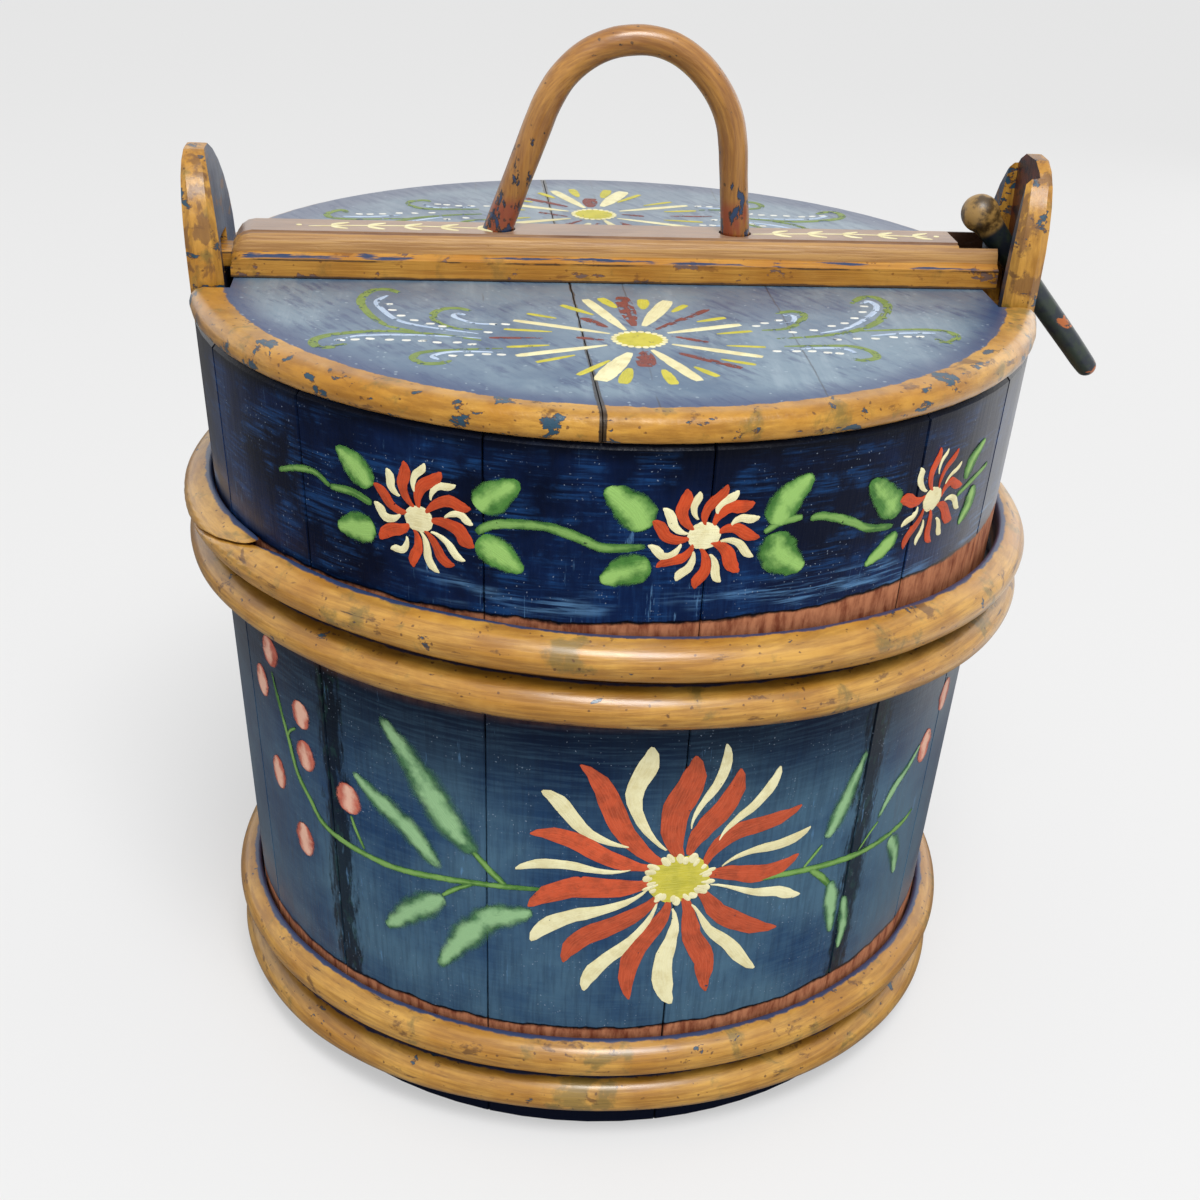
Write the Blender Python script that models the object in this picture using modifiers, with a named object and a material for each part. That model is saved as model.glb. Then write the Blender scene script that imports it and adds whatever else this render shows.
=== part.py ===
"""Staved wooden lidded tub: two ear staves, four withy hoops, a lid with a moulded bar and a locking peg."""

import math

import bmesh
import bpy
from mathutils import Matrix, Vector

# Driving sizes, in metres. The lid bar runs along X and the front faces -Y.
seat_gap = 0.0003  # between two pieces that touch
cut_overrun = 0.004  # how far a cut runs past the face it opens
facet_turn = math.radians(5.0)

# Tub
tub_radius = 0.1282  # at the rim
tub_taper = 0.0130  # how much less at the foot, so that hoops drive on from below
oval_stretch = 0.0015  # old tubs dry oval: longer along the bar, narrower across it
tub_height = 0.2376
stave_thickness = 0.0100
stave_edge_ease = 0.0012
seam_ease = 0.0004
front_stave_shares = (11.0, 21.0, 26.0, 26.5, 29.5, 20.0, 18.0)
back_stave_shares = (20.0, 25.0, 18.0, 27.0, 22.0, 24.0, 20.0)
ear_stave_width = 0.0560

# Bottom, held in a groove near the staves' feet
bottom_lift = 0.0120
bottom_thickness = 0.0090
croze_depth = 0.0035
bottom_board_width = 0.0760
bottom_edge_ease = 0.0010

# Ears
left_ear_rise = 0.0445
right_ear_rise = 0.0485
ear_width = 0.0454
ear_spring_width = 0.0446
ear_round_height = 0.0320
ear_edge_ease = 0.0024
right_ear_turn = math.radians(-3.5)
ear_tip_share = 0.22  # half width left flat at the very top, of the rounded top's half width
housing_width = 0.0220
housing_offset = -0.0075
housing_depth = 0.0060

# Hoops: half-round withies
upper_hoop_depth = 0.0100
lower_hoop_depth = 0.0086
hoop_lip = 0.0016
hoop_height = 0.0134
hoop_pair_gap = 0.0016
lower_pair_height = 0.0243
upper_pair_height = 0.1690
upper_pair_tilt = 0.0045  # how far the pair rises at the left ear and sinks at the right one
hoop_sag = 0.0022  # how much lower a withy lies at both ears than at the front
foot_hoop_sag = 0.0074
hoop_stand_off = 0.0020  # a shrunken tub leaves its upper withies loose at the right ear
scarf_turn = math.radians(26.0)
scarf_tip_share = 0.12
upper_scarf_angles = (-172.0, 64.0)
lower_scarf_angles = (112.0, 38.0)
hoop_round_steps = 6

# Lid
lid_thickness = 0.0080
lid_overhang = 0.0011
lid_top_ease = 0.0042
lid_bottom_ease = 0.0026
lid_ear_clearance = 0.0008
lid_swing_clearance = 0.0010
lid_seam_shift = -0.0152
lid_seam_slant = math.radians(0.6)

# Lid bar
bar_left_clearance = 0.0025  # from the bar's end to the inside of the ear
bar_right_clearance = 0.0009
bar_height = 0.0128
bar_width = 0.0268
bar_fascia_height = 0.0058
bar_ledge = 0.0024
bar_ledge_drop = 0.0014
bar_bead = 0.0032
bar_quirk = 0.0010
bar_nose_radius = 0.0062
tongue_width = 0.0130
tongue_height = 0.0052
tongue_lift = 0.0009
tongue_reach = 0.0120
tongue_ease = 0.0010
mortise_clearance = 0.0006
mortise_drop = 0.0016
mortise_rise = 0.0038
hinge_inset = 0.0035  # from the tongue's end back to the line it rocks on

# Handle: one bent rod
rod_radius = 0.0048
handle_span = 0.0739
handle_rise = 0.0573
handle_shift = 0.0002
handle_left_lean = 0.0129  # how far a leg leans in by its shoulder
handle_right_lean = 0.0027
handle_left_shoulder_share = 0.62
handle_right_shoulder_share = 0.50
handle_apex_share = 0.50
handle_shoulder_pull_share = 0.27
handle_crown_pull_share = 0.56

# Trenails, from under the lid into the bar
trenail_radius = 0.0028
trenail_bite = 0.0075
trenail_end_inset = 0.0236  # of the outer two, from the bar's ends
trenail_inner_spread = 0.02124  # of the inner two, from the bar's middle

# Locking peg
peg_radius = 0.0038
knob_radius = 0.0062
peg_length = 0.0650
peg_slope = math.radians(49.3)
knob_height = 0.0080  # knob centre above the bar
knob_inset = 0.0046  # from the bar's right end to the knob's centre
peg_offset = -0.0015
peg_clearance = 0.0005
fork_clearance = 0.0014

lid_bottom = tub_height + seat_gap
lid_top = lid_bottom + lid_thickness
bar_bottom = lid_top + seat_gap
bar_top = bar_bottom + bar_height
hoop_reach = tub_radius + oval_stretch + hoop_stand_off + upper_hoop_depth
inner_reach = tub_radius + oval_stretch - stave_thickness
bar_left_reach = inner_reach - bar_left_clearance
bar_right_reach = inner_reach - bar_right_clearance
knob_reach = bar_right_reach - knob_inset
peg_direction = Vector((-math.cos(peg_slope), 0, math.sin(peg_slope)))
knob_centre = Vector((knob_reach, peg_offset, bar_top + knob_height))
peg_tip = knob_centre - peg_direction * peg_length
hinge_height = bar_bottom + tongue_lift + tongue_height / 2
hinge_reach = bar_left_reach + tongue_reach - hinge_inset

# The origin lies midway between the left side of the upper hoops and the peg's tip.
upper_hoop_radius = tub_radius - tub_taper * (1 - upper_pair_height / tub_height) + upper_hoop_depth
tub_shift = (upper_hoop_radius + oval_stretch - peg_tip.x - peg_radius * peg_direction.z) / 2

for old in list(bpy.data.objects):
    bpy.data.objects.remove(old, do_unlink=True)

tub_collection = bpy.data.collections.new("staved_tub")
cutter_collection = bpy.data.collections.new("cutters")
bpy.context.scene.collection.children.link(tub_collection)
bpy.context.scene.collection.children.link(cutter_collection)

tub_axis = bpy.data.objects.new("tub_axis", None)
tub_axis.location = (tub_shift, 0, 0)
lid_hinge = bpy.data.objects.new("lid_hinge", None)
lid_hinge.location = (-hinge_reach, 0, hinge_height)
lid_hinge.parent = tub_axis
tub_collection.objects.link(tub_axis)
tub_collection.objects.link(lid_hinge)


def paint(name, colour, roughness):
    """A painted or bare wood finish."""
    material = bpy.data.materials.new(name)
    material.use_nodes = True
    shader = material.node_tree.nodes["Principled BSDF"]
    shader.inputs["Base Color"].default_value = (*colour, 1)
    shader.inputs["Roughness"].default_value = roughness
    shader.inputs["Metallic"].default_value = 0
    material.diffuse_color = (*colour, 1)
    return material


blue_paint = ((0.012, 0.035, 0.110), 0.38)
lid_blue_paint = ((0.085, 0.130, 0.190), 0.45)
ochre_paint = ((0.420, 0.205, 0.035), 0.42)
bar_paint = ((0.330, 0.180, 0.075), 0.45)
handle_paint = ((0.300, 0.120, 0.030), 0.35)
peg_paint = ((0.020, 0.045, 0.060), 0.40)
bare_wood = ((0.300, 0.160, 0.080), 0.70)


def own(name, mesh, finish, carrier=tub_axis):
    """Makes the mesh a named piece of the tub, or of the lid where the hinge carries it."""
    piece = bpy.data.objects.new(name, mesh)
    tub_collection.objects.link(piece)
    piece.parent = carrier
    if carrier is lid_hinge:
        piece.matrix_parent_inverse = Matrix.Translation(-lid_hinge.location)
    piece.data.materials.append(paint(name + "_finish", *finish))
    return piece


def mesh_of(name, shape):
    """Turns a bmesh into a mesh with its faces pointing out."""
    bmesh.ops.recalc_face_normals(shape, faces=shape.faces)
    mesh = bpy.data.meshes.new(name)
    shape.to_mesh(mesh)
    shape.free()
    return mesh


def loft(name, rings):
    """A closed solid through rings of as many points each."""
    shape = bmesh.new()
    loops = [[shape.verts.new(point) for point in ring] for ring in rings]
    for lower, upper in zip(loops, loops[1:]):
        for i in range(len(lower)):
            j = (i + 1) % len(lower)
            shape.faces.new((lower[i], lower[j], upper[j], upper[i]))
    shape.faces.new(loops[0])
    shape.faces.new(loops[-1])
    return mesh_of(name, shape)


def on_tub(turn, inset, height):
    """A point at this turn round the oval tub, inset from its outer face."""
    radius = tub_radius - tub_taper * (1 - height / tub_height) - inset
    return Vector(((radius + oval_stretch) * math.cos(turn), (radius - oval_stretch) * math.sin(turn), height))


def make_oval(shape):
    """Gives round pieces the tub's oval."""
    for vert in shape.verts:
        turn = math.atan2(vert.co.y, vert.co.x)
        if vert.co.xy.length > oval_stretch:
            vert.co.x += oval_stretch * math.cos(turn)
            vert.co.y -= oval_stretch * math.sin(turn)


def stave_ring(middle, half_turn, height, outer, inner, ease):
    """One level of a stave: its outer arc, then its inner arc back, with eased corners."""
    ease_turn = ease / tub_radius
    steps = max(2, round(2 * (half_turn - ease_turn) / facet_turn))
    run = [
        (middle - half_turn + ease_turn + 2 * (half_turn - ease_turn) * step / steps, 0)
        for step in range(steps + 1)
    ]
    run = [(middle - half_turn, ease), *run, (middle + half_turn, ease)]
    return [on_tub(turn, outer + cut, height) for turn, cut in run] + [
        on_tub(turn, inner - cut, height) for turn, cut in reversed(run)
    ]


def foot_levels():
    """Heights and inner faces of a stave from its foot to above the groove."""
    groove_low = bottom_lift - seat_gap
    groove_high = bottom_lift + bottom_thickness + seat_gap
    inner = stave_thickness
    return [
        (0, stave_edge_ease, inner - stave_edge_ease),
        (stave_edge_ease, 0, inner),
        (groove_low, 0, inner),
        (groove_low, 0, inner - croze_depth),
        (groove_high, 0, inner - croze_depth),
        (groove_high, 0, inner),
        (tub_height - stave_edge_ease, 0, inner),
    ]


def make_stave(name, start, end):
    middle = (start + end) / 2
    half_turn = (end - start - seat_gap / tub_radius) / 2
    levels = foot_levels() + [(tub_height, stave_edge_ease, stave_thickness - stave_edge_ease)]
    rings = [stave_ring(middle, half_turn, height, outer, inner, seam_ease) for height, outer, inner in levels]
    return own(name, loft(name, rings), blue_paint)


def make_ear_stave(name, middle, rise):
    """A stave that goes on above the rim as a rounded ear."""
    full_turn = math.asin(ear_stave_width / 2 / tub_radius) - seat_gap / tub_radius / 2
    neck_turn = math.asin(ear_width / 2 / tub_radius)
    steps = max(2, round(2 * full_turn / facet_turn))

    def ring(height, half_turn, outer, inner, ease):
        ease_turn = ease / tub_radius
        span = 2 * (half_turn - ease_turn)
        run = [(middle - half_turn + ease_turn + span * step / steps, 0) for step in range(steps + 1)]
        run = [(middle - half_turn, ease), *run, (middle + half_turn, ease)]
        return [on_tub(turn, outer + cut, height) for turn, cut in run] + [
            on_tub(turn, inner - cut, height) for turn, cut in reversed(run)
        ]

    rings = [ring(height, full_turn, outer, inner, seam_ease) for height, outer, inner in foot_levels()]
    rings.append(ring(tub_height, full_turn - stave_edge_ease / tub_radius, 0, stave_thickness, seam_ease))
    rings.append(ring(tub_height, neck_turn, 0, stave_thickness, ear_edge_ease))
    spring = tub_height + rise - ear_round_height
    top_turn = math.asin(ear_spring_width / 2 / tub_radius)
    tip_angle = math.acos(ear_tip_share)
    arch_steps = 6
    for step in range(arch_steps + 1):
        angle = tip_angle * step / arch_steps
        height = spring + ear_round_height * math.sin(angle) / math.sin(tip_angle)
        thinning = (stave_thickness / 2 - ear_edge_ease) * (1 - math.cos(angle))
        half_turn = top_turn * math.cos(angle)
        rings.append(ring(height, half_turn, thinning, stave_thickness - thinning, ear_edge_ease * math.cos(angle)))
    return own(name, loft(name, rings), blue_paint)


def make_staves():
    """The ring of staves: the ear staves at both ends of the bar, plain ones between them."""
    ear_half_turn = math.asin(ear_stave_width / 2 / tub_radius)
    left = make_ear_stave("ear_stave_left", math.pi, left_ear_rise)
    right = make_ear_stave("ear_stave_right", right_ear_turn, right_ear_rise)
    for side, shares, first, last in (
        ("front", front_stave_shares, ear_half_turn - math.pi, right_ear_turn - ear_half_turn),
        ("back", back_stave_shares, right_ear_turn + ear_half_turn, math.pi - ear_half_turn),
    ):
        turn = first
        for number, share in enumerate(shares, 1):
            end = turn + (last - first) * share / sum(shares)
            make_stave(f"stave_{side}_{number}", turn, end)
            turn = end
    return left, right


def hoop_section(turn, shape, low, high):
    """The half-round section between two angles of its round face."""
    middle, tilt, sag, depth, loose = shape
    half = hoop_height / 2
    face = depth - hoop_lip
    section = []
    for step in range(hoop_round_steps + 1):
        angle = low + (high - low) * step / hoop_round_steps
        section.append((hoop_lip + face * math.cos(angle), half * math.sin(angle)))
    section = [(0, half * math.sin(low)), *section, (0, half * math.sin(high))]
    sink = tilt * math.cos(turn) + sag * math.cos(turn) ** 2
    stand_off = seat_gap + loose * ((1 + math.cos(turn)) / 2) ** 4
    return [on_tub(turn, -stand_off - out, middle - sink + rise) for out, rise in section]


def make_hoop(name, shape, scarf_angle):
    """A withy bent round once, its two ends cut to a long slant that meets one above the other."""
    start = math.radians(scarf_angle)
    steps = round((2 * math.pi + scarf_turn) / facet_turn)
    right_angle = math.pi / 2
    gap_share = seat_gap / hoop_height
    rings = []
    for step in range(steps + 1):
        turn = (2 * math.pi + scarf_turn) * step / steps
        low, high = -right_angle, right_angle
        if turn < scarf_turn:
            split = turn / scarf_turn
            high = math.asin((2 * split - 1) * (1 - scarf_tip_share) - gap_share)
        if turn > 2 * math.pi:
            split = (turn - 2 * math.pi) / scarf_turn
            low = math.asin((2 * split - 1) * (1 - scarf_tip_share) + gap_share)
        rings.append(hoop_section(start + turn, shape, low, high))
    return own(name, loft(name, rings), ochre_paint)


def make_hoops():
    """Both pairs; a hoop's shape is its height, tilt, sag, depth and how loose it is."""
    upper = hoop_height / 2 + hoop_pair_gap / 2
    lower_height, upper_height = lower_pair_height, upper_pair_height
    for name, shape, scarf in (
        ("lower_hoop_top", (lower_height + upper, 0, hoop_sag, lower_hoop_depth, 0), lower_scarf_angles[0]),
        ("lower_hoop_bottom", (lower_height - upper, 0, foot_hoop_sag, lower_hoop_depth, 0), lower_scarf_angles[1]),
        (
            "upper_hoop_top",
            (upper_height + upper, upper_pair_tilt, hoop_sag, upper_hoop_depth, hoop_stand_off),
            upper_scarf_angles[0],
        ),
        (
            "upper_hoop_bottom",
            (upper_height - upper, upper_pair_tilt, hoop_sag, upper_hoop_depth, hoop_stand_off),
            upper_scarf_angles[1],
        ),
    ):
        make_hoop(name, shape, scarf)


def keep_side(shape, point, normal):
    """Cuts the shape with a plane and keeps what lies behind it, closed."""
    cut = bmesh.ops.bisect_plane(
        shape,
        geom=shape.verts[:] + shape.edges[:] + shape.faces[:],
        plane_co=point,
        plane_no=normal,
        clear_outer=True,
    )
    edges = [item for item in cut["geom_cut"] if isinstance(item, bmesh.types.BMEdge)]
    bmesh.ops.contextual_create(shape, geom=edges)


def oval_disc(radius, low, high, ease_low, ease_high):
    """An oval board between two heights, its rim eased below and above."""
    shape = bmesh.new()
    bmesh.ops.create_cone(
        shape,
        cap_ends=True,
        segments=round(2 * math.pi / facet_turn),
        radius1=radius,
        radius2=radius,
        depth=high - low,
        matrix=Matrix.Translation((0, 0, (low + high) / 2)),
    )
    middle = (low + high) / 2
    for ease, above in ((ease_low, False), (ease_high, True)):
        edges = [
            edge
            for edge in shape.edges
            if all((vert.co.z > middle) == above for vert in edge.verts) and edge.is_manifold
            and any(len(face.verts) > 4 for face in edge.link_faces)
        ]
        bmesh.ops.bevel(shape, geom=edges, offset=ease, segments=3, profile=0.5, affect="EDGES")
    make_oval(shape)
    return shape


def make_bottom():
    """Three boards that fill the groove."""
    radius = tub_radius - tub_taper * (1 - bottom_lift / tub_height) - stave_thickness + croze_depth - seat_gap
    edge = bottom_board_width / 2
    for name, sides in (
        ("bottom_board_left", ((-edge - seat_gap, 1),)),
        ("bottom_board_middle", ((edge, 1), (-edge, -1))),
        ("bottom_board_right", ((edge + seat_gap, -1),)),
    ):
        shape = oval_disc(
            radius, bottom_lift, bottom_lift + bottom_thickness, bottom_edge_ease, bottom_edge_ease
        )
        for place, side in sides:
            keep_side(shape, (place, 0, 0), (side, 0, 0))
        own(name, mesh_of(name, shape), bare_wood)


def cutter(name, shape):
    """A hidden helper that cuts a hollow."""
    helper = bpy.data.objects.new(name, mesh_of(name, shape))
    cutter_collection.objects.link(helper)
    helper.parent = tub_axis
    helper.hide_render = True
    helper.display_type = "WIRE"
    return helper


def box(low, high, ease=0):
    """A block between two corners, its upright edges eased."""
    shape = bmesh.new()
    low, high = Vector(low), Vector(high)
    size = high - low
    bmesh.ops.create_cube(
        shape, size=1, matrix=Matrix.Translation((low + high) / 2) @ Matrix.Diagonal((*size, 1))
    )
    if ease:
        bmesh.ops.bevel(shape, geom=shape.edges[:], offset=ease, segments=2, profile=0.5, affect="EDGES")
    return shape


def rod(start, end, radius, sides=16):
    """A round bar from one point to another."""
    start, end = Vector(start), Vector(end)
    along = end - start
    turn = along.to_track_quat("Z", "Y").to_matrix().to_4x4()
    shape = bmesh.new()
    bmesh.ops.create_cone(
        shape,
        cap_ends=True,
        segments=sides,
        radius1=radius,
        radius2=radius,
        depth=along.length,
        matrix=Matrix.Translation((start + end) / 2) @ turn,
    )
    return shape


def combine(piece, helper, operation="DIFFERENCE"):
    """Cuts a helper from the piece, or joins it."""
    change = piece.modifiers.new(helper.name, "BOOLEAN")
    change.operation = operation
    change.object = helper
    change.solver = "EXACT"


def open_ears(left, right):
    """The mortise in the left ear, and the housing and slanted peg hole in the right one."""
    half = tongue_width / 2 + mortise_clearance
    tongue_low = bar_bottom + tongue_lift
    mortise = box(
        (-hoop_reach, -half, tongue_low - mortise_drop),
        (-inner_reach + cut_overrun, half, tongue_low + tongue_height + mortise_rise),
    )
    combine(left, cutter("mortise", mortise))
    housing = box(
        (inner_reach - cut_overrun, housing_offset - housing_width / 2, lid_bottom),
        (inner_reach + housing_depth, housing_offset + housing_width / 2, tub_height + right_ear_rise + cut_overrun),
    )
    combine(right, cutter("housing", housing))
    reach_in = (knob_reach - inner_reach) / peg_direction.x - cut_overrun
    reach_out = (knob_reach - hoop_reach) / peg_direction.x
    hole = rod(
        knob_centre - peg_direction * reach_in,
        knob_centre - peg_direction * reach_out,
        peg_radius + peg_clearance,
    )
    combine(right, cutter("peg_hole", hole))


def trenail_places():
    """Two trenails in each lid board, under the bar."""
    middle = (bar_right_reach - bar_left_reach) / 2
    return [
        trenail_end_inset - bar_left_reach,
        middle - trenail_inner_spread,
        bar_right_reach - trenail_end_inset,
        middle + trenail_inner_spread,
    ]


def fork_cutter(name):
    """The open fork that lets the bar and the lid rise past the peg and its knob."""
    half = knob_radius + fork_clearance
    low = (knob_reach - half, peg_offset - half, lid_bottom - cut_overrun)
    return cutter(name, box(low, (hoop_reach, peg_offset + half, bar_top + cut_overrun)))


def make_lid():
    """Two boards with a rounded rim, notched round the ears."""
    radius = tub_radius + lid_overhang
    slant = Vector((math.cos(lid_seam_slant), math.sin(lid_seam_slant), 0))
    notch_half = ear_width / 2 + lid_ear_clearance
    for name, side, ear_shift in (
        ("lid_board_left", 1, 0),
        ("lid_board_right", -1, tub_radius * math.sin(right_ear_turn)),
    ):
        notch_reach = math.sqrt(inner_reach**2 - (notch_half + abs(ear_shift)) ** 2) - lid_swing_clearance
        shape = oval_disc(radius, lid_bottom, lid_top, lid_bottom_ease, lid_top_ease)
        seam = Vector((lid_seam_shift - side * seat_gap / 2, 0, 0))
        keep_side(shape, seam, slant * side)
        board = own(name, mesh_of(name, shape), lid_blue_paint, lid_hinge)
        near, far = sorted((-side * notch_reach, -side * (hoop_reach + cut_overrun)))
        notch = box(
            (near, ear_shift - notch_half, lid_bottom - cut_overrun),
            (far, ear_shift + notch_half, lid_top + cut_overrun),
        )
        combine(board, cutter(name + "_notch", notch))
        if side < 0:
            combine(board, fork_cutter("lid_fork"))
        for number, place in enumerate(trenail_places(), 1):
            if place * side < lid_seam_shift * side:
                hole = rod(
                    (place, 0, lid_bottom - cut_overrun),
                    (place, 0, lid_top + cut_overrun),
                    trenail_radius + seat_gap,
                    12,
                )
                combine(board, cutter(f"{name}_trenail_hole_{number}", hole))


def bar_profile():
    """Half of the bar's section, from the foot of its fascia to the middle of its top: width and height."""
    half = bar_width / 2
    ledge_top = bar_fascia_height + bar_ledge_drop
    bead_in = half - bar_ledge
    bead_foot = ledge_top
    bead_rise = bar_height - bead_foot - bar_quirk / 2
    points = [(half, 0), (half, bar_fascia_height), (bead_in, ledge_top)]
    for step in (1, 2, 3):
        angle = math.pi / 2 * step / 3
        points.append((bead_in - bar_bead * (1 - math.cos(angle)), bead_foot + bead_rise * math.sin(angle)))
    quirk = bead_in - bar_bead
    points += [
        (quirk - bar_quirk / 2, bar_height - 2 * bar_quirk),
        (quirk - bar_quirk, bar_height),
    ]
    return points


def make_bar():
    """The moulded bar: the section run along X, a worn round nose and a tongue at its left end."""
    half_profile = bar_profile()
    profile = half_profile + [(-width, height) for width, height in reversed(half_profile)]
    nose_steps = 4
    rings = []
    for step in range(nose_steps + 1):
        angle = math.pi / 2 * step / nose_steps
        place = -bar_left_reach + bar_nose_radius * (1 - math.cos(angle))
        share = (bar_height - bar_nose_radius * (1 - math.sin(angle))) / bar_height
        rings.append([(place, -width, bar_bottom + height * share) for width, height in profile])
    rings.append([(bar_right_reach, -width, bar_bottom + height) for width, height in profile])
    bar = own("lid_bar", loft("lid_bar", rings), bar_paint, lid_hinge)
    tongue_low = bar_bottom + tongue_lift
    tongue = box(
        (-bar_left_reach - tongue_reach, -tongue_width / 2, tongue_low),
        (-bar_left_reach + bar_nose_radius, tongue_width / 2, tongue_low + tongue_height),
        tongue_ease,
    )
    combine(bar, cutter("tongue", tongue), "UNION")
    combine(bar, fork_cutter("bar_fork"))
    for name, (foot, shoulder, way) in zip(("left", "right"), handle_legs()):
        hole = rod(foot - way * cut_overrun, shoulder, rod_radius + seat_gap)
        combine(bar, cutter(f"handle_hole_{name}", hole))
    for number, place in enumerate(trenail_places(), 1):
        hole = rod(
            (place, 0, bar_bottom - cut_overrun),
            (place, 0, bar_bottom + trenail_bite),
            trenail_radius + seat_gap,
            12,
        )
        combine(bar, cutter(f"bar_trenail_hole_{number}", hole))


def handle_legs():
    """Each leg's foot near the bar's underside, its shoulder above the bar, and the way it leans."""
    legs = []
    for side, lean, share in (
        (-1, handle_left_lean, handle_left_shoulder_share),
        (1, handle_right_lean, handle_right_shoulder_share),
    ):
        shoulder = Vector((-side * lean, 0, handle_rise * share))
        way = shoulder.normalized()
        at_top = Vector((handle_shift + side * handle_span / 2, 0, bar_top))
        depth = bar_height - seat_gap - rod_radius * abs(way.x)
        legs.append((at_top - way * depth / way.z, at_top + shoulder, way))
    return legs


def make_handle():
    """One rod: two straight legs and a round bow between their shoulders."""
    (left_foot, left_shoulder, left_way), (right_foot, right_shoulder, right_way) = handle_legs()
    apex = left_shoulder.lerp(right_shoulder, handle_apex_share)
    apex.z = bar_top + handle_rise
    curve = bpy.data.curves.new("handle", "CURVE")
    curve.dimensions = "3D"
    curve.resolution_u = 7
    curve.bevel_depth = rod_radius
    curve.bevel_resolution = 3
    curve.use_fill_caps = True
    spline = curve.splines.new("BEZIER")
    spline.bezier_points.add(4)
    pull = (right_shoulder - left_shoulder).length * handle_shoulder_pull_share
    rise_pull = (apex.z - left_shoulder.z) * handle_crown_pull_share
    across = Vector((1, 0, 0))
    for point, place, back, ahead in zip(
        spline.bezier_points,
        (left_foot, left_shoulder, apex, right_shoulder, right_foot),
        (-left_way * pull, -left_way * pull, -across * pull, right_way * rise_pull, right_way * pull),
        (left_way * pull, left_way * rise_pull, across * pull, -right_way * pull, -right_way * pull),
    ):
        point.co = place
        point.handle_left = place + back
        point.handle_right = place + ahead
    own("handle", curve, handle_paint, lid_hinge)


def make_trenails():
    for number, place in enumerate(trenail_places(), 1):
        name = f"bar_trenail_{number}"
        shape = rod((place, 0, lid_bottom), (place, 0, bar_bottom + trenail_bite - seat_gap), trenail_radius, 12)
        own(name, mesh_of(name, shape), bare_wood, lid_hinge)


def make_peg():
    """A turned peg: a round knob on a straight shaft with a rounded tip."""
    points = []
    neck = math.asin(peg_radius / knob_radius)
    knob_steps = 7
    for step in range(knob_steps + 1):
        angle = (math.pi - neck) * step / knob_steps
        points.append((knob_radius * math.sin(angle), knob_radius * math.cos(angle)))
    tip_steps = 3
    for step in range(tip_steps + 1):
        angle = math.pi / 2 * step / tip_steps
        points.append((peg_radius * math.cos(angle), -peg_length - peg_radius * math.sin(angle)))
    mesh = bpy.data.meshes.new("locking_peg")
    mesh.from_pydata(
        [(out if out > seat_gap / 10 else 0, 0, along) for out, along in points],
        [(i, i + 1) for i in range(len(points) - 1)],
        [],
    )
    peg = own("locking_peg", mesh, peg_paint)
    peg.location = knob_centre
    peg.rotation_euler = (0, peg_slope - math.pi / 2, 0)
    turning = peg.modifiers.new("turning", "SCREW")
    turning.axis = "Z"
    turning.steps = 18
    turning.render_steps = 18
    turning.use_merge_vertices = True
    turning.merge_threshold = 0.00001
    turning.use_smooth_shade = True


left_ear, right_ear = make_staves()
open_ears(left_ear, right_ear)
make_bottom()
make_hoops()
make_lid()
make_bar()
make_handle()
make_trenails()
make_peg()
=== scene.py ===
import math
import random

import bpy
from mathutils import Matrix, Vector, noise


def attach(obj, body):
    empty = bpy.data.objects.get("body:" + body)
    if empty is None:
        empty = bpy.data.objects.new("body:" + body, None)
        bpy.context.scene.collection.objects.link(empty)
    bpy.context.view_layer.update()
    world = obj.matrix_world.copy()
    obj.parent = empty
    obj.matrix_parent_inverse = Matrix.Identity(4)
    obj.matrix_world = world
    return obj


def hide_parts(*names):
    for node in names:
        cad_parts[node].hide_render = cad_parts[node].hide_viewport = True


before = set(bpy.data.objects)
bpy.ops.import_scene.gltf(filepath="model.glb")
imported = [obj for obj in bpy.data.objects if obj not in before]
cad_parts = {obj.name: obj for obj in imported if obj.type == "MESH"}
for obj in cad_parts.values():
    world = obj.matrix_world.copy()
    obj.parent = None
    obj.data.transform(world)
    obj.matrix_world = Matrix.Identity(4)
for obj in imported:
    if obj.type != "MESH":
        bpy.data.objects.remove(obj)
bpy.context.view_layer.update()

print("frame loaded:", len(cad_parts), "nodes")

# The tub's own axis and its outer wall, as the solids have them
tub = {
    "axisX": -0.01176,
    "rimRadius": 0.1282,
    "taper": 0.0130,
    "height": 0.2376,
    "oval": 0.0015,
    "wall": 0.0100,
    "lidTop": 0.2459,
    "barTop": 0.2590,
    "unrollRadius": 0.122,
}
mm = 0.001


def wallRadius(z):
    return tub["rimRadius"] - tub["taper"] * (1 - z / tub["height"])


def wallPoint(around, z, lift=0.0):  # around is in metres along the wall, from the middle of the front
    turn = -math.pi / 2 + around / tub["unrollRadius"]
    radius = wallRadius(z) + lift
    return Vector((
        tub["axisX"] + (radius + tub["oval"]) * math.cos(turn),
        (radius - tub["oval"]) * math.sin(turn),
        z,
    ))


# ---------- small helpers for objects ----------

def onlyActive(piece):
    bpy.ops.object.select_all(action="DESELECT")
    piece.select_set(True)
    bpy.context.view_layer.objects.active = piece


def applyAll(piece):
    onlyActive(piece)
    for modifier in list(piece.modifiers):
        bpy.ops.object.modifier_apply(modifier=modifier.name)


def smoothBy(piece, degrees):
    onlyActive(piece)
    bpy.ops.object.shade_smooth_by_angle(angle=math.radians(degrees))


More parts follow.
